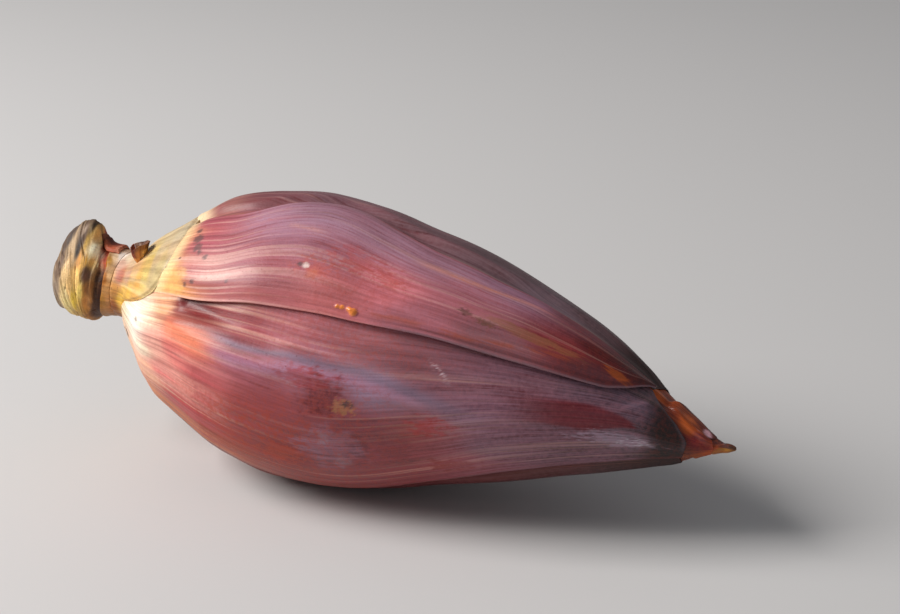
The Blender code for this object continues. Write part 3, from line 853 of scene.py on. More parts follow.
def fold_paint(colours, along, above):
    """The dark hollow above the fold, deep red darkened with painted shade, its salmon crest, and a
    painted sheen with lavender below it.
    """
    started = grow(along, 0.176, 0.190)
    # The hollow's deep red is darkened as painted shade, and the brown band just under the upper front
    # bract's margin is painted shade.
    pocket_shade = started * fade(along, 0.225, 0.31) * held(above, 0.0002, 0.0022, 0.009, 0.015)
    brown = started * fade(along, 0.205, 0.255) * grow(above, 0.0060, 0.0085)
    foot = hump(above, 0.0030, 0.0016) * held(along, 0.22, 0.26, 0.36, 0.52)
    salmon = hump(above, -0.0042, 0.0048) * held(along, 0.165, 0.185, 0.245, 0.30)
    lavender = hump(above, -0.0042, 0.0026) * held(along, 0.24, 0.31, 0.52, 0.64)
    # A painted sheen: the grey-lilac band along the crest, where the fold reflects the light.
    broad = blend(0.0014, 0.0024, grow(along, 0.36, 0.52))
    centre = 0.0013 * fade(along, 0.38, 0.44) - 0.0014 * grow(along, 0.48, 0.56)
    sheen = hump(above, centre, broad) * held(along, 0.24, 0.31, 0.58, 0.70)
    colours = tint(
        colours,
        ((126, 24, 28), 0.85 * pocket_shade),
        ((92, 50, 54), 0.8 * brown),
        ((140, 52, 58), 0.7 * foot),
        ((242, 134, 98), 0.75 * salmon),
        ((190, 134, 162), 0.8 * lavender),
        ((130, 108, 128), 0.85 * sheen),
    )
    return colours, sheen


def dark_wedge(along, around):
    """A dark red wedge towards the tip of the lower front bract."""
    low = blend(4, 16, grow(along, 0.80, 0.872))
    high = blend(22, 27, grow(along, 0.74, 0.82)) - 5 * grow(along, 0.84, 0.872)
    soft_end = along + 0.012 * (cloud(along * 50, around * 0.5, 148) - 0.5)
    wedge = held(around, low - 1.5, low + 1.5, high - 3, high + 2)
    return wedge * grow(along, 0.68, 0.78) * fade(soft_end, 0.860, 0.872)


def lower_front_paint(at):
    along, around = at.along, at.around
    above, _ = fold(along, around)
    colours = zones(along, around, LOWER_FRONT_STOPS, (0.05, 9))
    fan = blend(0.35, 1.15, fade(along, 0.16, 0.40))
    colours = streaked(colours, at, 141, (248, 196, 168), (138, 46, 50), fan)
    colours = lower_front_base(colours, at)
    colours, sheen = fold_paint(colours, along, above)
    colours = blotched(colours, at, LOWER_FRONT_BLOTCHES)
    smooth = patch(at, (0.54, 24), (0.085, 7), 155, 0.25, (30, 0.2))
    white_line = hump(around, 25 - 260 * (along - 0.59), 1.6) * hump(along, 0.602, 0.012)
    specks = grow(noise(along * 420, around * 1.6, 156), 0.52, 0.7) * white_line
    wedge = dark_wedge(along, around)
    frost = patch(at, (0.850, -1), (0.050, 7), 157, 1.1, (120, 0.9))
    rime = grow(cloud(along * 170, around * 1.1, 147), 0.54, 0.66)
    rime = rime * patch(at, (0.866, -2), (0.022, 7), 149, 0.5)
    ragged = 0.020 * (cloud(along * 40, around * 0.25, 158) - 0.5)
    apex = grow(along + ragged + 0.010 * hump(around, 45, 22), 0.878, 0.900)
    # A painted highlight: a grey line along the apex's edge, where the edge catches the light.
    end_highlight = fade(at.from_end, 0.0006, 0.0022) * grow(around, -12, 6)
    low_rim = fade(at.from_low, 0.0004, 0.0020) * grow(along, 0.5, 0.6)
    colours = tint(
        colours,
        ((128, 76, 82), 0.6 * smooth),
        ((226, 200, 208), 0.9 * specks),
        ((112, 24, 34), 0.8 * wedge),
        ((170, 152, 166), 0.5 * frost),
        ((206, 194, 206), 0.8 * rime),
        ((37, 25, 24), 0.9 * apex),
        ((88, 80, 88), 0.5 * end_highlight),
        ((96, 40, 36), 0.5 * low_rim),
        # the cream shoulder, its cream lightened to near white as a painted highlight, with a small brown
        # mark, and the dark nub of a scar at the base
        ((253, 250, 236), 0.85 * hump(along, 0.092, 0.030) * hump(around, 8, 15)),
        ((96, 60, 44), 0.7 * patch(at, (0.103, 9.1), (0.0045, 1.6), 159, 0.6, (300, 2))),
        ((52, 34, 26), 0.85 * patch(at, (0.060, -17), (0.007, 5), 144, 0.5, (300, 1))),
    )
    bloom = hump(above, -0.005, 0.010) * held(along, 0.28, 0.38, 0.60, 0.74)
    bloom = 0.30 * bloom * (1 - 0.8 * sheen) + 0.40 * patch(at, (0.46, -20), (0.05, 12), 146, 0.6)
    bloom = bloom + 0.35 * held(along, 0.55, 0.70, 0.86, 0.90) + 0.3 * frost
    bloom = bloom + 0.25 * hump(along, 0.29, 0.03) * hump(around, 8, 8)
    rust = 0.5 * hump(along, 0.32, 0.12) * fade(around, -14, 2) + 0.25 * hump(along, 0.45, 0.12) + 0.1
    wet = 0.25 * smooth + 0.25 * sheen + 0.3 * wedge
    return colours, marks_of(along.shape, bloom * (1 - 0.8 * wedge), rust * (1 - 0.8 * sheen), wet)


def plain_relief(seed, tucked=0.0):
    """Ridges and ribs, with sides that press down and an end that is tucked in."""

    def relief(at):
        sides = np.minimum(at.from_low, at.from_high)
        ridges = 0.00011 * veins(at.across, at.along, seed) * grow(sides, 0.0, 0.004)
        ribs = noise(at.across * 0.16, at.along * 3, seed + 5) - 0.5
        ribs = 0.0007 * ribs * grow(at.along, 0.05, 0.11) * fade(at.along, 0.22, 0.36)
        pressed = 0.0006 * fade(sides, 0.0, 0.005)
        return ridges + ribs - pressed - tucked * fade(at.from_end, 0.0, 0.007)

    return relief


def plain_ends(colours, at, seed, apex_between, margin, apex, base):
    """A dark margin, a dried dark apex and a pale base, each in its own colour."""
    along, around = at.along, at.around
    sides = np.minimum(at.from_low, at.from_high)
    ragged = 0.012 * (cloud(along * 40, around * 0.25, seed) - 0.5)
    return tint(
        colours,
        (margin, 0.55 * fade(sides, 0.0004, 0.0022) * grow(along, 0.2, 0.4)),
        (apex, 0.85 * grow(along + ragged, *apex_between)),
        (base, 0.8 * fade(at.from_base, 0.003, 0.012)),
    )


# The grey stop at (0.70, 96) is painted sheen.
TOP_STOPS = (
    (0.125, 84, (246, 214, 170)), (0.12, 110, (240, 205, 165)), (0.11, 140, (236, 198, 160)),
    (0.10, 175, (236, 196, 158)), (0.16, 84, (148, 78, 80)), (0.155, 100, (152, 82, 84)),
    (0.15, 130, (176, 96, 96)), (0.15, 165, (186, 106, 102)), (0.24, 76, (142, 72, 78)),
    (0.24, 95, (118, 52, 58)), (0.24, 120, (144, 74, 80)), (0.24, 155, (148, 76, 82)),
    (0.35, 98, (124, 74, 82)), (0.36, 130, (136, 82, 92)), (0.36, 165, (138, 76, 84)),
    (0.48, 108, (112, 56, 62)), (0.48, 140, (118, 78, 90)), (0.52, 170, (112, 62, 72)),
    (0.63, 107, (94, 52, 55)), (0.64, 140, (96, 62, 72)), (0.66, 170, (92, 50, 58)),
    (0.77, 107, (96, 62, 64)), (0.70, 96, (124, 98, 108)), (0.78, 145, (76, 50, 58)),
    (0.86, 105, (40, 22, 16)), (0.86, 140, (52, 38, 38)),
)


def top_paint(at):
    along, around = at.along, at.around
    cover = upper_front.distance_outside(along, around)
    colours = zones(along, around, TOP_STOPS, (0.06, 14))
    fan = blend(0.4, 0.9, fade(along, 0.15, 0.4))
    colours = streaked(colours, at, 241, (214, 160, 150), (84, 40, 48), fan)
    lines = noise(at.across * 0.9, along * 1.5, 243)
    grey = hump(around, 107, 16) * grow(along, 0.38, 0.48)
    # A painted highlight: the pale line along the strip beside the upper front bract.
    pale_line = hump(cover, 0.0026, 0.0007) * held(along, 0.50, 0.56, 0.76, 0.82)
    # A painted shadow: the dark band on the top bract just beside the upper front bract's edge.
    edge_shadow = fade(cover, 0.0004, 0.0014) * grow(along, 0.30, 0.38)
    cream = hump(cover, 0.0026, 0.0013) * held(along, 0.18, 0.22, 0.29, 0.34)
    brown = hump(cover, 0.0016, 0.0010) * held(along, 0.30, 0.36, 0.42, 0.5)
    colours = tint(
        colours,
        ((60, 42, 44), 0.55 * fade(lines, 0.25, 0.45) * grey),
        ((138, 110, 114), 0.35 * grow(lines, 0.6, 0.8) * grey),
        ((150, 122, 116), 0.7 * pale_line),
        ((40, 20, 20), 0.7 * edge_shadow),
        ((232, 166, 128), 0.6 * cream),
        ((128, 66, 48), 0.6 * brown),
        ((246, 218, 176), 0.8 * fade(at.from_base, 0.003, 0.012)),
    )
    bloom = 0.35 * held(along, 0.18, 0.3, 0.75, 0.85)
    rust = 0.35 * hump(along, 0.35, 0.15) * grow(around, 115, 140) + 0.1
    return colours, marks_of(along.shape, bloom, rust)


BACK_STOPS = (
    (0.08, 200, (240, 206, 168)), (0.07, 232, (240, 204, 164)), (0.14, 180, (210, 134, 126)),
    (0.14, 210, (206, 122, 116)), (0.14, 235, (190, 108, 98)), (0.24, 180, (172, 94, 98)),
    (0.24, 212, (160, 80, 86)), (0.26, 235, (142, 70, 70)), (0.38, 180, (150, 84, 92)),
    (0.38, 205, (142, 74, 84)), (0.40, 232, (128, 62, 68)), (0.52, 182, (128, 74, 86)),
    (0.52, 210, (124, 64, 76)), (0.54, 236, (112, 52, 60)), (0.66, 182, (106, 66, 78)),
    (0.66, 212, (106, 56, 66)), (0.68, 236, (96, 46, 52)), (0.78, 190, (88, 54, 62)),
    (0.78, 220, (84, 46, 52)), (0.87, 202, (54, 36, 36)),
)
BACK_BLOTCHES = (
    ((150, 48, 38), 0.6, (0.42, 214), (0.05, 10), 351, 0.9, (90, 0.7)),
    ((120, 36, 34), 0.6, (0.56, 196), (0.03, 6), 352, 0.9, (90, 0.7)),
    ((150, 100, 70), 0.6, (0.35, 190), (0.012, 3), 353, 0.9, (200, 1.2)),
)


def back_paint(at):
    along, around = at.along, at.around
    colours = zones(along, around, BACK_STOPS, (0.07, 15))
    fan = blend(0.4, 1.05, fade(along, 0.16, 0.4))
    colours = streaked(colours, at, 341, (236, 176, 156), (110, 42, 50), fan)
    colours = blotched(colours, at, BACK_BLOTCHES)
    colours = plain_ends(colours, at, 358, (0.84, 0.885), (92, 44, 44), (46, 34, 34), (246, 220, 178))
    bloom = 0.4 * held(along, 0.2, 0.3, 0.80, 0.88)
    rust = 0.3 * hump(along, 0.4, 0.2) + 0.1
    return colours, marks_of(along.shape, bloom, rust)


UNDERSIDE_STOPS = (
    (0.05, -90, (238, 204, 162)), (0.04, -60, (238, 200, 158)), (0.05, -120, (238, 204, 164)),
    (0.10, -50, (204, 124, 92)), (0.10, -90, (212, 136, 112)), (0.10, -120, (206, 130, 112)),
    (0.17, -45, (140, 70, 56)), (0.18, -70, (168, 88, 76)), (0.18, -110, (172, 90, 84)),
    (0.30, -50, (120, 56, 52)), (0.32, -90, (142, 68, 68)), (0.32, -122, (140, 68, 72)),
    (0.48, -60, (112, 42, 40)), (0.48, -90, (120, 56, 60)), (0.48, -122, (118, 56, 64)),
    (0.62, -50, (98, 32, 28)), (0.64, -90, (100, 44, 50)), (0.64, -120, (98, 46, 54)),
    (0.75, -38, (86, 28, 22)), (0.78, -90, (82, 38, 42)), (0.88, -70, (58, 34, 34)),
    (0.88, -40, (60, 36, 34)),
)


def underside_paint(at):
    along, around = at.along, at.around
    colours = zones(along, around, UNDERSIDE_STOPS, (0.07, 15))
    fan = blend(0.5, 1.05, fade(along, 0.16, 0.4))
    colours = streaked(colours, at, 441, (214, 140, 110), (84, 32, 34), fan)
    colours = plain_ends(colours, at, 458, (0.86, 0.91), (82, 34, 32), (44, 30, 30), (244, 216, 172))
    bloom = 0.15 * held(along, 0.3, 0.4, 0.80, 0.88)
    rust = 0.35 * hump(along, 0.4, 0.2) + 0.1
    return colours, marks_of(along.shape, bloom, rust)


def tip_shape(at):
    """Fine ridges, and the fullness that both of the tip's bracts have on their lower side."""
    sides = np.minimum(at.from_low, at.from_high)
    ridges = 0.00005 * veins(at.across, at.along, 39) * grow(sides, 0.0, 0.002)
    return ridges + 0.0014 * hump(at.along, 0.938, 0.022) * hump(turned(at.around + 60), 0, 55)


TIP_FRONT_STOPS = (
    (0.80, 10, (96, 34, 38)), (0.88, 64, (108, 40, 26)), (0.905, 50, (118, 46, 30)),
    (0.93, 56, (186, 88, 32)), (0.943, 66, (178, 80, 32)), (0.925, 25, (116, 34, 34)),
    (0.93, -10, (104, 44, 26)), (0.93, -40, (128, 60, 26)), (0.945, 25, (128, 34, 42)),
    (0.950, 46, (112, 42, 50)), (0.955, 5, (112, 32, 32)), (0.965, 30, (130, 48, 34)),
    (0.965, -20, (176, 76, 26)), (0.950, -35, (150, 72, 26)),
)
# The orange stops from along 0.878 to 0.939 are the streak's own orange lightened as painted light, where
# the top bract shades it.
TIP_BACK_STOPS = (
    (0.878, 97, (240, 112, 34)), (0.894, 97, (204, 86, 26)), (0.911, 91, (156, 68, 28)),
    (0.928, 88, (240, 116, 40)), (0.939, 81, (168, 74, 30)), (0.90, 70, (100, 40, 32)),
    (0.89, 110, (128, 56, 34)), (0.92, 108, (112, 50, 32)), (0.945, 100, (96, 40, 38)),
    (0.96, 88, (84, 36, 42)), (0.965, 110, (66, 34, 38)), (0.90, 160, (110, 46, 38)),
    (0.94, 180, (84, 38, 40)), (0.90, 240, (112, 48, 40)), (0.93, 280, (120, 58, 34)),
    (0.80, 150, (110, 50, 50)),
)


def tip_front_relief(at):
    return tip_shape(at) - 0.0008 * fade(at.from_end, 0.0, 0.004)


def tip_front_paint(at):
    along, around = at.along, at.around
    colours = zones(along, around, TIP_FRONT_STOPS, (0.010, 14))
    colours = streaked(colours, at, 541, (196, 100, 60), (70, 22, 26), 0.7)
    edge = fade(np.minimum(at.from_end, at.from_high), 0.0003, 0.0011)
    # A painted highlight: a pale pink spot where the tip shines.
    painted_highlight = patch(at, (0.948, 68), (0.006, 8), 551, 0.5, (200, 1))
    colours = tint(colours, ((190, 84, 42), 0.2 * edge), ((240, 186, 200), 0.6 * painted_highlight))
    return colours, marks_of(along.shape, 0.4 * painted_highlight, 0.2, 0.3)


def tip_back_relief(at):
    return tip_shape(at) - 0.0011 * fade(at.from_end, 0.0, 0.009)


def tip_back_paint(at):
    along, around = at.along, at.around
    colours = zones(along, around, TIP_BACK_STOPS, (0.018, 15))
    colours = streaked(colours, at, 641, (200, 104, 54), (60, 24, 30), 0.7)
    edge = fade(at.from_end, 0.0003, 0.0030)
    # A painted highlight: a pale pink spot where the tip shines.
    painted_highlight = patch(at, (0.956, 92), (0.007, 20), 552, 0.4, (200, 1))
    colours = tint(colours, ((62, 34, 38), 0.8 * edge), ((255, 200, 214), 0.95 * painted_highlight))
    return colours, marks_of(along.shape, 0.1 + 0.3 * painted_highlight, 0.2, 0.3)


# Each bract's node, layout, counts of rows and columns, relief, paint and material.
BRACTS = (
    ("lower_front_bract", lower_front, (381, 201), lower_front_relief, lower_front_paint, "bract_rose"),
    ("upper_front_bract", upper_front, (341, 131), upper_front_relief, upper_front_paint, "bract_rose"),
    ("top_bract", top, (321, 151), plain_relief(35, tucked=0.0009), top_paint, "bract_dark"),
    ("back_bract", back, (281, 111), plain_relief(36), back_paint, "bract_dark"),
    ("underside_bract", underside, (301, 131), plain_relief(37), underside_paint, "bract_dark"),
    ("tip_bract_front", tip_front, (101, 91), tip_front_relief, tip_front_paint, "bract_tip"),
    ("tip_bract_back", tip_back, (101, 161), tip_back_relief, tip_back_paint, "bract_tip"),
)
for number, bract in enumerate(BRACTS, 1):
    make_bract(*bract, number)


# ---------------------------------------------------------------- the bud inside
BUD_DEPTH = 0.0084
BUD_START, BUD_END = 0.17, 0.9995
BUD_STOPS = (
    (0.90, 0, (170, 90, 40)), (0.965, 60, (96, 38, 40)), (0.965, 10, (190, 72, 32)),
    (0.975, -40, (176, 98, 30)), (0.985, -8, (168, 110, 30)), (0.985, 34, (78, 42, 46)),
    (0.985, 100, (70, 44, 50)), (0.985, -60, (160, 96, 34)), (0.985, -160, (130, 76, 40)),
    (0.996, 40, (62, 44, 36)), (0.994, -20, (150, 98, 34)), (0.999, 0, (60, 44, 34)),
    (0.998, -150, (110, 66, 44)),
)


def outside_in(paint):
    """The paint of a round piece, with its angles in the order that turns its faces outwards."""
    return {key: value[:, ::-1] for key, value in paint.items()}


def make_bud():
    angles = np.linspace(-180, 180, 96, endpoint=False)
    steps = np.concatenate((np.linspace(0, 0.9, 40), np.linspace(0.905, 0.999, 60)))
    u, around = np.meshgrid(steps, angles, indexing="ij")
    along = blend(BUD_START, BUD_END, u)
    clear = np.zeros(along.shape)
    for bract in (*outer_bracts, tip_front, tip_back):
        outside = bract.distance_outside(along, around)
        own = bract.depth(along, around) + bract.thickness_at(along) + LAYER_GAP
        clear = np.maximum(clear, fade(outside, bract.tuck, bract.tuck + bract.rise) * own)
    depth = np.maximum(fade(along, 0.88, 0.93) * BUD_DEPTH, clear + LAYER_GAP / 2)
    depth = depth - swell(along, around) * grow(along, 0.9, 0.95)
    rings = on_blossom(along, around, depth)
    turn = np.radians(around)
    paint = {
        "tint": zones(along, around, BUD_STOPS, (0.012, 26)),
        "marks": marks_of(along.shape, 0.05, 0.25, 0.3),
        "grain": np.stack((np.cos(turn) * 6, np.sin(turn) * 6, along * 12), -1),
    }
    end = on_blossom(1.0, 0.0, 0.0009)
    round_piece("inner_bud", rings[:, ::-1], rings[0].mean(0), end, outside_in(paint), "bud")


make_bud()

# ---------------------------------------------------------------- the stalk
STALK_SIDES = 240
STALK_AROUND = -180 + 360 * np.arange(STALK_SIDES) / STALK_SIDES
STALK_TURNS = STALK_AROUND / 360 + 0.5
SLANT = 0.0069  # how far the cut's rings lean
SLANT_AROUND = 48
GROOVE = curve(
    ((-180, -0.0120), (-62, -0.0094), (-16, -0.0070), (5, -0.0061), (42, -0.0063))
    + ((64, -0.0080), (85, -0.0096), (110, -0.0120), (180, -0.0120))
)
FILLET = 0.0010  # how far the corner between the neck and the flare is filled
FILLET_LENGTH = 0.0030
HIDDEN_END = 0.080  # how far along the blossom the stalk's hidden end is

# Colours of the cut node: distance from the neck in millimetres, angle around, colour. The stops at
# (-12.5, 4), (-12, 67) and (-10.4, 72) are the tissue's colour lightened as painted light, on faces that
# the key light reaches only at a glancing angle.
NODE_STOPS = (
    (-27, 0, (140, 122, 104)), (-26, 56, (92, 68, 54)), (-26, 104, (90, 74, 64)),
    (-26, -50, (150, 128, 104)), (-24, 0, (144, 124, 106)), (-24, 24, (112, 88, 70)),
    (-24, 38, (104, 76, 58)), (-24, 75, (72, 60, 56)), (-22, 48, (160, 134, 104)),
    (-21, 55, (226, 192, 150)), (-20, 42, (255, 214, 160)), (-20, 20, (240, 200, 140)),
    (-18, 1, (240, 194, 124)), (-19, -8, (255, 228, 164)), (-19, -22, (255, 232, 156)),
    (-18, 58, (20, 10, 8)), (-18, 67, (36, 20, 16)), (-17.5, 73, (66, 36, 20)),
    (-18, 80, (178, 152, 130)), (-18, 88, (100, 76, 60)), (-16, 44, (200, 140, 70)),
    (-16, 26, (240, 190, 110)), (-14, 12, (236, 194, 110)), (-12.5, 4, (255, 222, 120)),
    (-15.5, -14, (255, 216, 76)), (-14, -26, (206, 166, 70)), (-15, 70, (188, 146, 56)),
    (-13.2, 82, (240, 190, 112)), (-13.5, 92, (200, 156, 92)), (-15.5, 86, (36, 24, 15)),
    (-13, 45, (212, 154, 44)), (-12, 67, (255, 244, 204)), (-11.5, 58, (252, 232, 178)),
    (-11, 50, (236, 186, 100)), (-12, 80, (252, 222, 166)), (-10.4, 72, (255, 250, 215)),
    (-11, 26, (104, 74, 64)), (-11.6, 32, (92, 68, 56)), (-10, 6, (166, 112, 62)),
    (-10, -17, (206, 144, 78)), (-12, -30, (190, 138, 66)), (-12, -49, (160, 112, 60)),
    (-16, -50, (196, 154, 86)), (-24, 150, (140, 112, 88)), (-24, -110, (140, 112, 86)),
    (-24, -175, (140, 112, 88)), (-18, 140, (190, 146, 92)), (-18, -110, (188, 146, 90)),
    (-18, -175, (196, 152, 98)), (-18, 175, (196, 152, 98)), (-12, 140, (150, 110, 66)),
    (-12, -110, (150, 108, 60)), (-12, -175, (158, 116, 70)), (-12, 175, (158, 116, 70)),
)
# And of the neck and the flare. The stops at (-1, 75) and (-2.6, 67) are the neck's cream lightened as
# painted light, where the knob and the flap shade it.
NECK_SPREAD = (2.2, 13)
NECK_STOPS = (
    (-5, 58, (150, 98, 16)), (-4, 30, (164, 94, 4)), (-4.5, -14, (160, 106, 30)),
    (-6, -50, (150, 104, 50)), (-4, 57, (170, 120, 28)), (-3.5, 23, (160, 92, 4)),
    (-3, -13, (168, 116, 44)), (-2.6, 67, (224, 190, 152)), (-1.4, 34, (222, 176, 124)),
    (-1, -13, (196, 138, 82)), (-1, 75, (255, 240, 228)), (-1.2, 10, (204, 148, 88)),
    (-3, 92, (204, 166, 136)), (-2, -50, (150, 104, 60)), (1, -19, (156, 84, 30)),
    (1, -45, (150, 94, 46)), (2, 10, (194, 134, 66)), (2, 57, (188, 146, 126)), (4, 37, (176, 100, 80)),
    (5, -5, (236, 186, 68)), (4, 72, (210, 190, 162)), (6, -30, (214, 160, 78)),
    (9, 38, (195, 150, 124)), (9, 12, (226, 180, 88)), (9, 58, (208, 176, 140)),
    (14, 42, (216, 174, 126)), (14, 17, (224, 176, 80)), (13, 80, (206, 182, 144)),
    (20, 25, (222, 166, 84)), (23, 38, (210, 182, 106)), (23, 48, (204, 174, 100)),
    (26, 55, (188, 166, 128)), (27, 62, (194, 170, 132)), (33, 60, (198, 178, 146)),
    (32, 45, (200, 178, 126)), (24, 85, (200, 178, 138)), (8, -60, (222, 172, 100)),
    (-4, 125, (190, 150, 104)), (-4, 175, (190, 148, 96)), (-4, -175, (190, 148, 96)),
    (-4, -110, (180, 132, 80)), (2, 130, (206, 168, 124)), (2, 175, (204, 164, 112)),
    (2, -175, (204, 164, 112)), (2, -110, (200, 150, 88)), (16, 120, (212, 186, 140)),
    (16, 170, (214, 182, 130)), (16, -170, (214, 182, 130)), (10, -100, (216, 178, 118)),
)


def knob_at(x, around):
    """The knob on the node's upper side: a steep wall faces the neck, a gentle facet the front."""
    off_knob = turned(around - KNOB["around"])
    ridge = knob_ridge_at(x)
    gentle = np.where(x < KNOB_TOP[0], ridge, KNOB_TOP[1] * knob_front_at(x))
    height = blend(gentle, ridge, grow(off_knob, -24, -8))
    off_knob = off_knob / np.where(off_knob > 0, KNOB["back_width"], KNOB["front_width"])
    return height * np.exp(-(off_knob**2))


def stalk_grid(steps):
    """(the steps, the angles) at every angle of the stalk."""
    shape = (len(steps), STALK_SIDES)
    return np.broadcast_to(steps[:, None], shape), np.broadcast_to(STALK_AROUND, shape)


def wave(x, cells_along, cells_around, seed, layers=3):
    """Noise from 0 to 1 round the stalk, which meets itself. One layer is plain noise."""
    turns = np.broadcast_to(STALK_TURNS * cells_around, x.shape)
    return cloud(x * cells_along, turns, seed, layers, cells_around)


def stalk_grain(length, per_turn, per_length):
    turn = np.radians(STALK_AROUND)
    across = [round_part * per_turn + 0 * length for round_part in (np.cos(turn), np.sin(turn))]
    return np.stack((*across, length * per_length), -1)


def cut_face():
    """A shallow dish of torn fibres round a darker core."""
    share, around = stalk_grid(np.linspace(0.06, 1.0, 26)[:-1])
    rough = wave(share, 7, 26, 701)
    x = -STALK_LENGTH + 0.00176 * (1 - share**2) - 0.0016 * (rough - 0.5) * grow(share, 0.1, 0.5)
    radius = share * (stalk_radius_at(-STALK_LENGTH) + knob_at(-STALK_LENGTH, STALK_AROUND))
    stops = ((0.0, 0, (96, 66, 44)), (0.5, 0, (120, 86, 56)), (0.85, 0, (150, 112, 70)))
    stops = (*stops, (1.0, 0, (110, 84, 62)))
    colours = tint(
        zones(share, 0 * share, stops, (0.2, 10)),
        ((58, 38, 28), 0.75 * fade(rough, 0.30, 0.48)),
        ((196, 160, 108), 0.55 * grow(rough, 0.55, 0.72)),
    )
    return {
        "points": to_row(x, radius, around),
        "tint": colours,
        "marks": marks_of(share.shape, 0.1, 0.6),
        "grain": stalk_grain(share * 10, 9, 1.0),
    }


def node_and_neck():
    """From the cut to the flare: the swollen node with its knob, the scar ring and the neck."""
    to_node = np.linspace(-STALK_LENGTH, -0.0268, 16)[:-1]
    x, around = stalk_grid(np.concatenate((to_node, np.linspace(-0.0268, 0.0, 110)[:-1])))
    from_neck = x * MILLIMETRES
    lean = MILLIMETRES * SLANT * np.sin(np.radians(around - SLANT_AROUND))
    band = from_neck + lean * fade(x, -0.019, -0.0085)
    past_groove = x - GROOVE(around)
    cut = fade(past_groove, -0.0012, 0.0006)
    rings = wave(band, 0.55, 6, 703, 1) - 0.5 + 0.6 * (wave(band, 1.3, 11, 704, 1) - 0.5)
    cracks = fade(np.abs(wave(band, 0.5, 7, 705, 1) - 0.42), 0.01, 0.04)
    torn_top = hump(around, 108, 24) * fade(x, -0.0165, -0.0135)
    shreds = wave(from_neck, 0.45, 34, 708) - 0.5
    scar = fade(np.abs(past_groove + 0.0010 * (wave(band, 0.35, 16, 714) - 0.5)), 0.0014, 0.0024)

    radius = stalk_radius_at(x) + knob_at(x + 0.0008 * (wave(from_neck, 0.3, 24, 713) - 0.5), around)
    lumps = 0.0009 * (wave(band, 0.22, 5, 702) - 0.5) + 0.0008 * rings
    radius = radius + cut * (lumps - 0.0004 * cracks + 0.0026 * torn_top * shreds)
    radius = radius - scar * blend(0.0013, 0.0006, grow(around, 35, 60))
    radius = radius + 0.0008 * grow(past_groove, 0.0010, 0.0028) * fade(x, -0.0034, 0.0004)
    radius = radius - 0.0008 * fade(x, -0.0285, -0.0270) * (wave(from_neck, 0.5, 24, 706) - 0.2)
    radius = radius + 0.00035 * (wave(from_neck, 0.15, 10, 707) - 0.5) * (1 - cut)
    radius = radius - 0.0005 * hump(x, 0.0012, 0.0024) * hump(turned(around + 75), 0, 55)
    radius = radius + FILLET * hump(x, 0.0, FILLET_LENGTH)

    wander = 4.5 * (wave(band, 0.5, 9, 720) - 0.5)
    node = zones(from_neck, around + wander, NODE_STOPS, (1.25, 12))
    neck = zones(from_neck, around, NECK_STOPS, NECK_SPREAD)
    colours = blend(neck, node, fade(past_groove, -0.0002, 0.0006)[..., None])
    mottle = wave(band, 0.9, 13, 711)
    fibres = noise(STALK_TURNS * 70 + 0 * x, x * 300, 715)
    colours = colours * (1 + cut * (0.22 * rings + 0.34 * (mottle - 0.5)))[..., None]
    colours = tint(
        colours,
        ((236, 206, 156), 0.22 * grow(mottle, 0.60, 0.74) * cut),
        ((66, 42, 30), 0.45 * cracks * grow(mottle, 0.35, 0.6) * cut),
        ((74, 54, 42), 0.8 * torn_top * grow(shreds, -0.05, 0.10)),
        ((54, 16, 3), 0.95 * scar * fade(around, 30, 62)),
        ((168, 50, 12), 0.95 * scar * grow(around, 30, 62)),
        ((150, 96, 60), 0.25 * scar * grow(fibres, 0.60, 0.75) * grow(around, -30, 20)),
        # The near-white facet: cream tissue, lightened further as painted light where the key light leaves
        # the facet in shade.
        ((255, 250, 222), 0.8 * hump(x, -0.0112, 0.0024) * hump(around, 66, 9)),
    )
    on_node = (x < -0.008)[..., None]
    return {
        "points": to_row(x, radius, around),
        "tint": colours,
        "marks": marks_of(x.shape, 0.04 * cut, 0.22 * cut, 0.25 * (1 - cut) * (1 - scar)),
        "grain": np.where(on_node, stalk_grain(band, 3.0, 1.5), stalk_grain(from_neck, 11.0, 0.12)),
    }


def flare():
    """The flare that the bracts grow from, out to their seam."""
    part, around = stalk_grid(np.linspace(0.0, 1.0, 90))
    along = part * seam(around)
    long = along * LENGTH * MILLIMETRES
    sink = 0.0011 * fade((seam(around) - along) * LENGTH, 0.0005, 0.0021) * grow(along, 0.015, 0.03)
    sink = sink - FILLET * hump(along * LENGTH, 0.0, FILLET_LENGTH)
    sink = sink - 0.0002 * (wave(along, 12, 60, 709, 1) - 0.5) - 0.00012 * (wave(along, 30, 14, 710) - 0.5)
    streaks = wave(along, 14, 90, 712, 1)
    streaked_part = grow(along, 0.0, 0.03)
    colours = tint(
        zones(long, around, NECK_STOPS, NECK_SPREAD),
        ((226, 208, 166), 0.28 * grow(streaks, 0.6, 0.8) * streaked_part),
        ((186, 128, 62), 0.25 * fade(streaks, 0.2, 0.4) * streaked_part),
    )
    return {
        "points": on_blossom(along, around, sink),
        "tint": colours,
        "marks": marks_of(along.shape, 0.04, 0.03, 0.35),
        "grain": stalk_grain(long, 16.0, 0.10),
    }


def hidden_end():
    """What closes the stalk inside, where the bud sits."""
    closing, around = stalk_grid(np.linspace(1.0, 0.05, 12)[1:])
    rim = seam(STALK_AROUND)
    x = blend(HIDDEN_END * LENGTH, rim * LENGTH + 0.002, closing**2)
    points = to_row(x, (radius_at(rim, STALK_AROUND) - 0.0060) * closing, around)
    return {
        "points": points,
        "tint": np.broadcast_to(rgb(230, 200, 140), points.shape),
        "marks": marks_of(closing.shape, 0.0, 0.0),
        "grain": stalk_grain(closing * 10, 16.0, 0.1),
    }


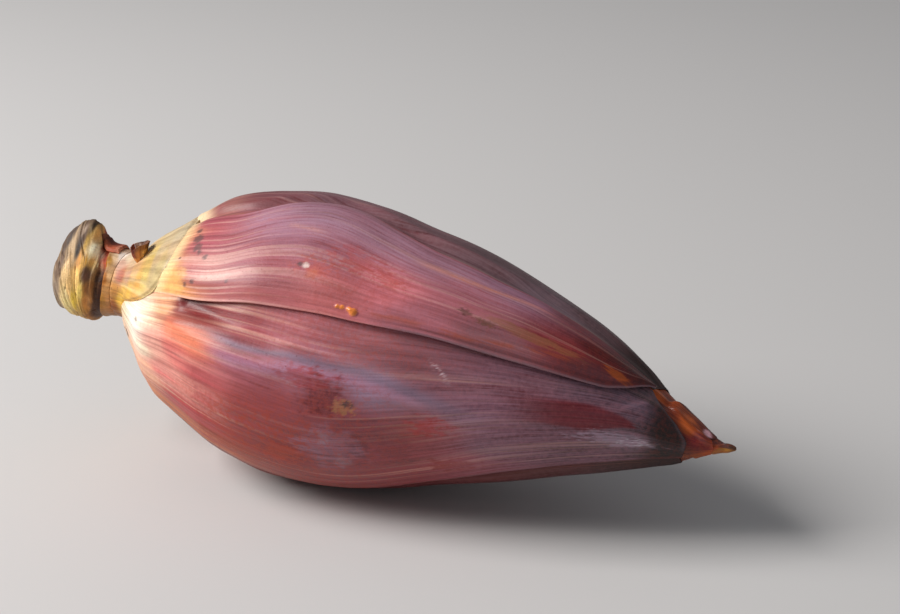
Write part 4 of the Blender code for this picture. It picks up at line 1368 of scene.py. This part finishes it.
def make_stalk():
    parts = (cut_face(), node_and_neck(), flare(), hidden_end())
    paint = outside_in({key: np.concatenate([part[key] for part in parts]) for key in parts[0]})
    start = to_row(-STALK_LENGTH + 0.0018, 0.0, 0.0)
    end = to_row(HIDDEN_END * LENGTH, 0.0, 0.0)
    round_piece("stalk", paint.pop("points"), start, end, paint, "stalk")


make_stalk()

# ---------------------------------------------------------------- remains of torn bracts
TOWARDS_TIP = np.array((math.cos(TIP_DOWN), 0.0, -math.sin(TIP_DOWN)))


def outwards_from(x, foot):
    """The direction from the axis, at a distance x along it, to a foot on the blossom."""
    out = foot - to_row(x, 0.0, 0.0)
    return out / np.linalg.norm(out)


def dry_piece(node, outer, thickness, colours, marks, grain):
    """A dried sheet. marks and grain hold a number, or a number for each place, for each part."""
    shape = thickness.shape
    grain = np.stack([np.broadcast_to(part, shape) for part in grain], -1)
    paint = {"tint": colours, "marks": marks_of(shape, *marks), "grain": grain}
    sheet_piece(node, outer, thickness, paint, "dry_bract")


def from_rim(u, v):
    """How far each place of a stub is from its torn rim and its sides."""
    return np.minimum(np.minimum(v, 1 - v) * 8, (1 - u) * 5)


# The small collar under the flare: where its foot is, its size and how far it reaches round.
UNDER_STUB = {"along": 0.024, "around": -62, "lean": 0.004}
UNDER_STUB_RADIUS = 0.0022
UNDER_STUB_HEIGHT = 0.0036
UNDER_STUB_HALF_TURN = 60


def make_under_stub():
    """A short curled collar with a torn rim, rooted in the flare."""
    foot = on_blossom(UNDER_STUB["along"], UNDER_STUB["around"], 0.0)
    out = outwards_from(UNDER_STUB["along"] * LENGTH - UNDER_STUB["lean"], foot)
    side = np.cross(TOWARDS_TIP, out)
    side = side / np.linalg.norm(side)
    forward = np.cross(out, side)
    u, v = np.meshgrid(shares(61, (False, True)), shares(81), indexing="ij")
    turn = np.radians(blend(-UNDER_STUB_HALF_TURN, UNDER_STUB_HALF_TURN, v))
    ragged = 1 - 0.30 * cloud(v * 9, v * 0, 821, 3) - 0.30 * hump(v, 0.0, 0.2)
    height = -0.0012 + (UNDER_STUB_HEIGHT + 0.0014) * u * ragged
    width = UNDER_STUB_RADIUS * blend(1.05, 0.85, u) + 0.0005 * (noise(v * 16, u * 2, 823) - 0.5)
    width = width + 0.0012 * u**2 * (cloud(v * 4, u, 822, 2) - 0.3)
    ring = side * np.sin(turn)[..., None] - forward * np.cos(turn)[..., None]
    outer = foot + out * height[..., None] + ring * width[..., None]
    thick = 0.0010 * blend(0.35, 1.0, grow(from_rim(u, v), 0.0, 1.0))
    stops = ((0.0, 50, (190, 140, 80)), (0.5, 50, (110, 72, 40)), (1.0, 50, (44, 30, 24)))
    fibres = noise(v * 34, u * 2, 824)
    colours = tint(
        zones(u, v * 100, stops, (0.25, 25)),
        ((60, 32, 22), 0.6 * fade(fibres, 0.25, 0.5)),
        ((206, 158, 96), 0.4 * grow(fibres, 0.62, 0.8)),
    )
    dry_piece("torn_bract_stub_under", outer, thick, colours, (0.0, 0.5, 0.05), (v * 14, u * 1.2, 821.0))


# Colours of the cup: share of its height, angle from its side towards the tip and the front. The stops at
# (0.55, 10) and (0.90, -10) are lightened as painted light on the cup's side away from the key light.
TOP_STUB_STOPS = (
    (0.20, 0, (226, 164, 76)), (0.20, -60, (224, 148, 70)), (0.20, -120, (190, 104, 60)),
    (0.55, 10, (250, 190, 104)), (0.60, -40, (200, 128, 66)), (0.60, -80, (140, 62, 38)),
    (0.60, -130, (150, 76, 56)), (0.90, -10, (150, 96, 52)), (0.95, 40, (104, 64, 40)),
    (0.90, -80, (110, 44, 32)), (0.70, 95, (136, 86, 60)), (0.60, 150, (220, 186, 168)),
    (0.80, 165, (236, 208, 194)), (0.95, 120, (110, 70, 50)), (0.50, -175, (170, 100, 82)),
)


def make_top_stub():
    """What is left of a torn bract: a small cup on the flare, with an uneven rim."""
    u, v = np.meshgrid(shares(61, (False, True)), shares(121), indexing="ij")
    angle = blend(150, -205, v)
    foot = on_blossom(0.052, 56.0, 0.0)
    out = outwards_from(0.050 * LENGTH, foot) + np.array((0.0, 0.35, 0.45))
    out = out / np.linalg.norm(out)
    upward = np.cross(TOWARDS_TIP, out)
    upward = upward * np.sign(upward[2])
    tall = 0.0074 + 0.0018 * np.cos(np.radians(angle + 30)) - 0.0024 * hump(turned(angle + 115), 0, 45)
    ragged = 1 - 0.16 * cloud(v * 12, v * 0, 811, 3)
    height = -0.0016 + (tall * ragged + 0.0016) * u
    wide = blend(0.0015, 0.0041, u**0.8) + 0.0003 * (noise(v * 22, u * 2, 812) - 0.5)
    wide = wide + 0.0006 * u**3 * np.cos(np.radians(angle - 10))
    turn = np.radians(angle)[..., None]
    ring = TOWARDS_TIP * np.cos(turn) + upward * np.sin(turn)
    outer = foot + out * height[..., None] + ring * wide[..., None]
    thick = 0.0010 * blend(0.4, 1.0, grow(from_rim(u, v), 0.0, 1.0))
    colours = zones(u, turned(angle + 30), TOP_STUB_STOPS, (0.16, 24))
    colours = tint(colours, ((70, 36, 22), 0.4 * fade(noise(v * 46, u * 2, 813), 0.2, 0.45)))
    dry_piece("torn_bract_stub_top", outer, thick, colours, (0.0, 0.1, 0.1), (v * 16, u * 1.2, 5.0))


FLAP_FROM, FLAP_TO = -0.0126, -0.0020
FLAP_LOW, FLAP_HIGH = (90, 76), 112  # its lower side goes from one angle to the other
FLAP_STOPS = (
    (0.0, 20, (120, 66, 40)), (0.3, 20, (168, 84, 54)), (0.6, 20, (186, 92, 62)),
    (1.0, 30, (214, 136, 108)), (0.2, 80, (104, 48, 34)), (0.6, 70, (140, 60, 42)),
    (1.0, 80, (190, 110, 84)),
)


def make_flap():
    """A dried strip that lies along the top of the neck."""
    u, v = np.meshgrid(shares(61), shares(61), indexing="ij")
    x = blend(FLAP_FROM, FLAP_TO, u * (1 - 0.14 * cloud(v * 5, v * 0, 801)))
    low = blend(*FLAP_LOW, grow(u, 0.0, 0.5))
    around = blend(low, FLAP_HIGH, v) + 2 * (noise(u * 3, v, 802) - 0.5)
    edge = np.minimum(np.minimum(v, 1 - v), np.minimum(u, 1 - u) * 2)
    height = blend(0.0014, 0.0024, u) - 0.0007 * fade(edge, 0.0, 0.14)
    height = height + 0.0005 * (noise(v * 6, u * 2, 803) - 0.5)
    outer = to_row(x, stalk_radius_at(x) + knob_at(x, around) + height, around)
    thick = 0.0011 * blend(0.4, 1.0, grow(edge, 0.0, 0.1))
    colours = zones(u, v * 100, FLAP_STOPS, (0.25, 35))
    colours = tint(colours, ((84, 36, 26), 0.5 * fade(noise(v * 22, u * 2, 804), 0.2, 0.45)))
    dry_piece("dried_bract_flap", outer, thick, colours, (0.0, 0.3, 0.1), (v * 10, u * 1.2, 8.0))


make_top_stub()
make_under_stub()
make_flap()

# ---------------------------------------------------------------- floor, light and camera
FLOOR_HALF = 3.0
FLOOR_GAP = 0.0002  # keeps the floor clear of the flat patch that rests on it


def make_floor():
    mesh = bpy.data.meshes.new("floor")
    corners = ((-1, -1), (1, -1), (1, 1), (-1, 1))
    points = [(FLOOR_HALF * x, FLOOR_HALF * y, -FLOOR_GAP) for x, y in corners]
    mesh.from_pydata(points, [], [(0, 1, 2, 3)])
    floor = bpy.data.objects.new("floor", mesh)
    bpy.context.scene.collection.objects.link(floor)
    material = bpy.data.materials.new("floor")
    material.use_nodes = True
    shader = material.node_tree.nodes["Principled BSDF"]
    shader.inputs["Base Color"].default_value = (*rgb(212, 211, 211), 1.0)
    shader.inputs["Roughness"].default_value = 0.8
    shader.inputs["Specular IOR Level"].default_value = 0.2
    mesh.materials.append(material)


def aim(thing, target):
    thing.rotation_euler = (Vector(target) - thing.location).to_track_quat("-Z", "Y").to_euler()


def add_light(name, location, target, size, power, colour):
    data = bpy.data.lights.new(name, "AREA")
    data.shape = "RECTANGLE"
    data.size, data.size_y = size
    data.energy = power
    data.color = colour
    light = bpy.data.objects.new(name, data)
    bpy.context.scene.collection.objects.link(light)
    light.location = location
    aim(light, target)


def make_world():
    world = bpy.data.worlds.new("studio")
    bpy.context.scene.world = world
    world.use_nodes = True
    background = world.node_tree.nodes["Background"]
    background.inputs["Color"].default_value = (0.86, 0.87, 0.90, 1.0)
    background.inputs["Strength"].default_value = 0.24


CAMERA_PLACE = (0.3155, -0.6493, 0.3502)
CAMERA_TARGET = (0.0295, 0.0, 0.0778)


def make_camera():
    data = bpy.data.cameras.new("camera")
    data.lens = 80.0
    data.sensor_width = 36.0
    data.clip_start = 0.01
    camera = bpy.data.objects.new("camera", data)
    bpy.context.scene.collection.objects.link(camera)
    camera.location = CAMERA_PLACE
    aim(camera, CAMERA_TARGET)
    bpy.context.scene.camera = camera


make_floor()
add_light(
    "key",
    location=(-1.28, -0.67, 1.20),
    target=(0.0, 0.0, 0.05),
    size=(0.95, 0.95),
    power=42.0,
    colour=(1.0, 0.97, 0.94),
)
make_world()
make_camera()
bpy.context.scene.view_settings.view_transform = "Standard"
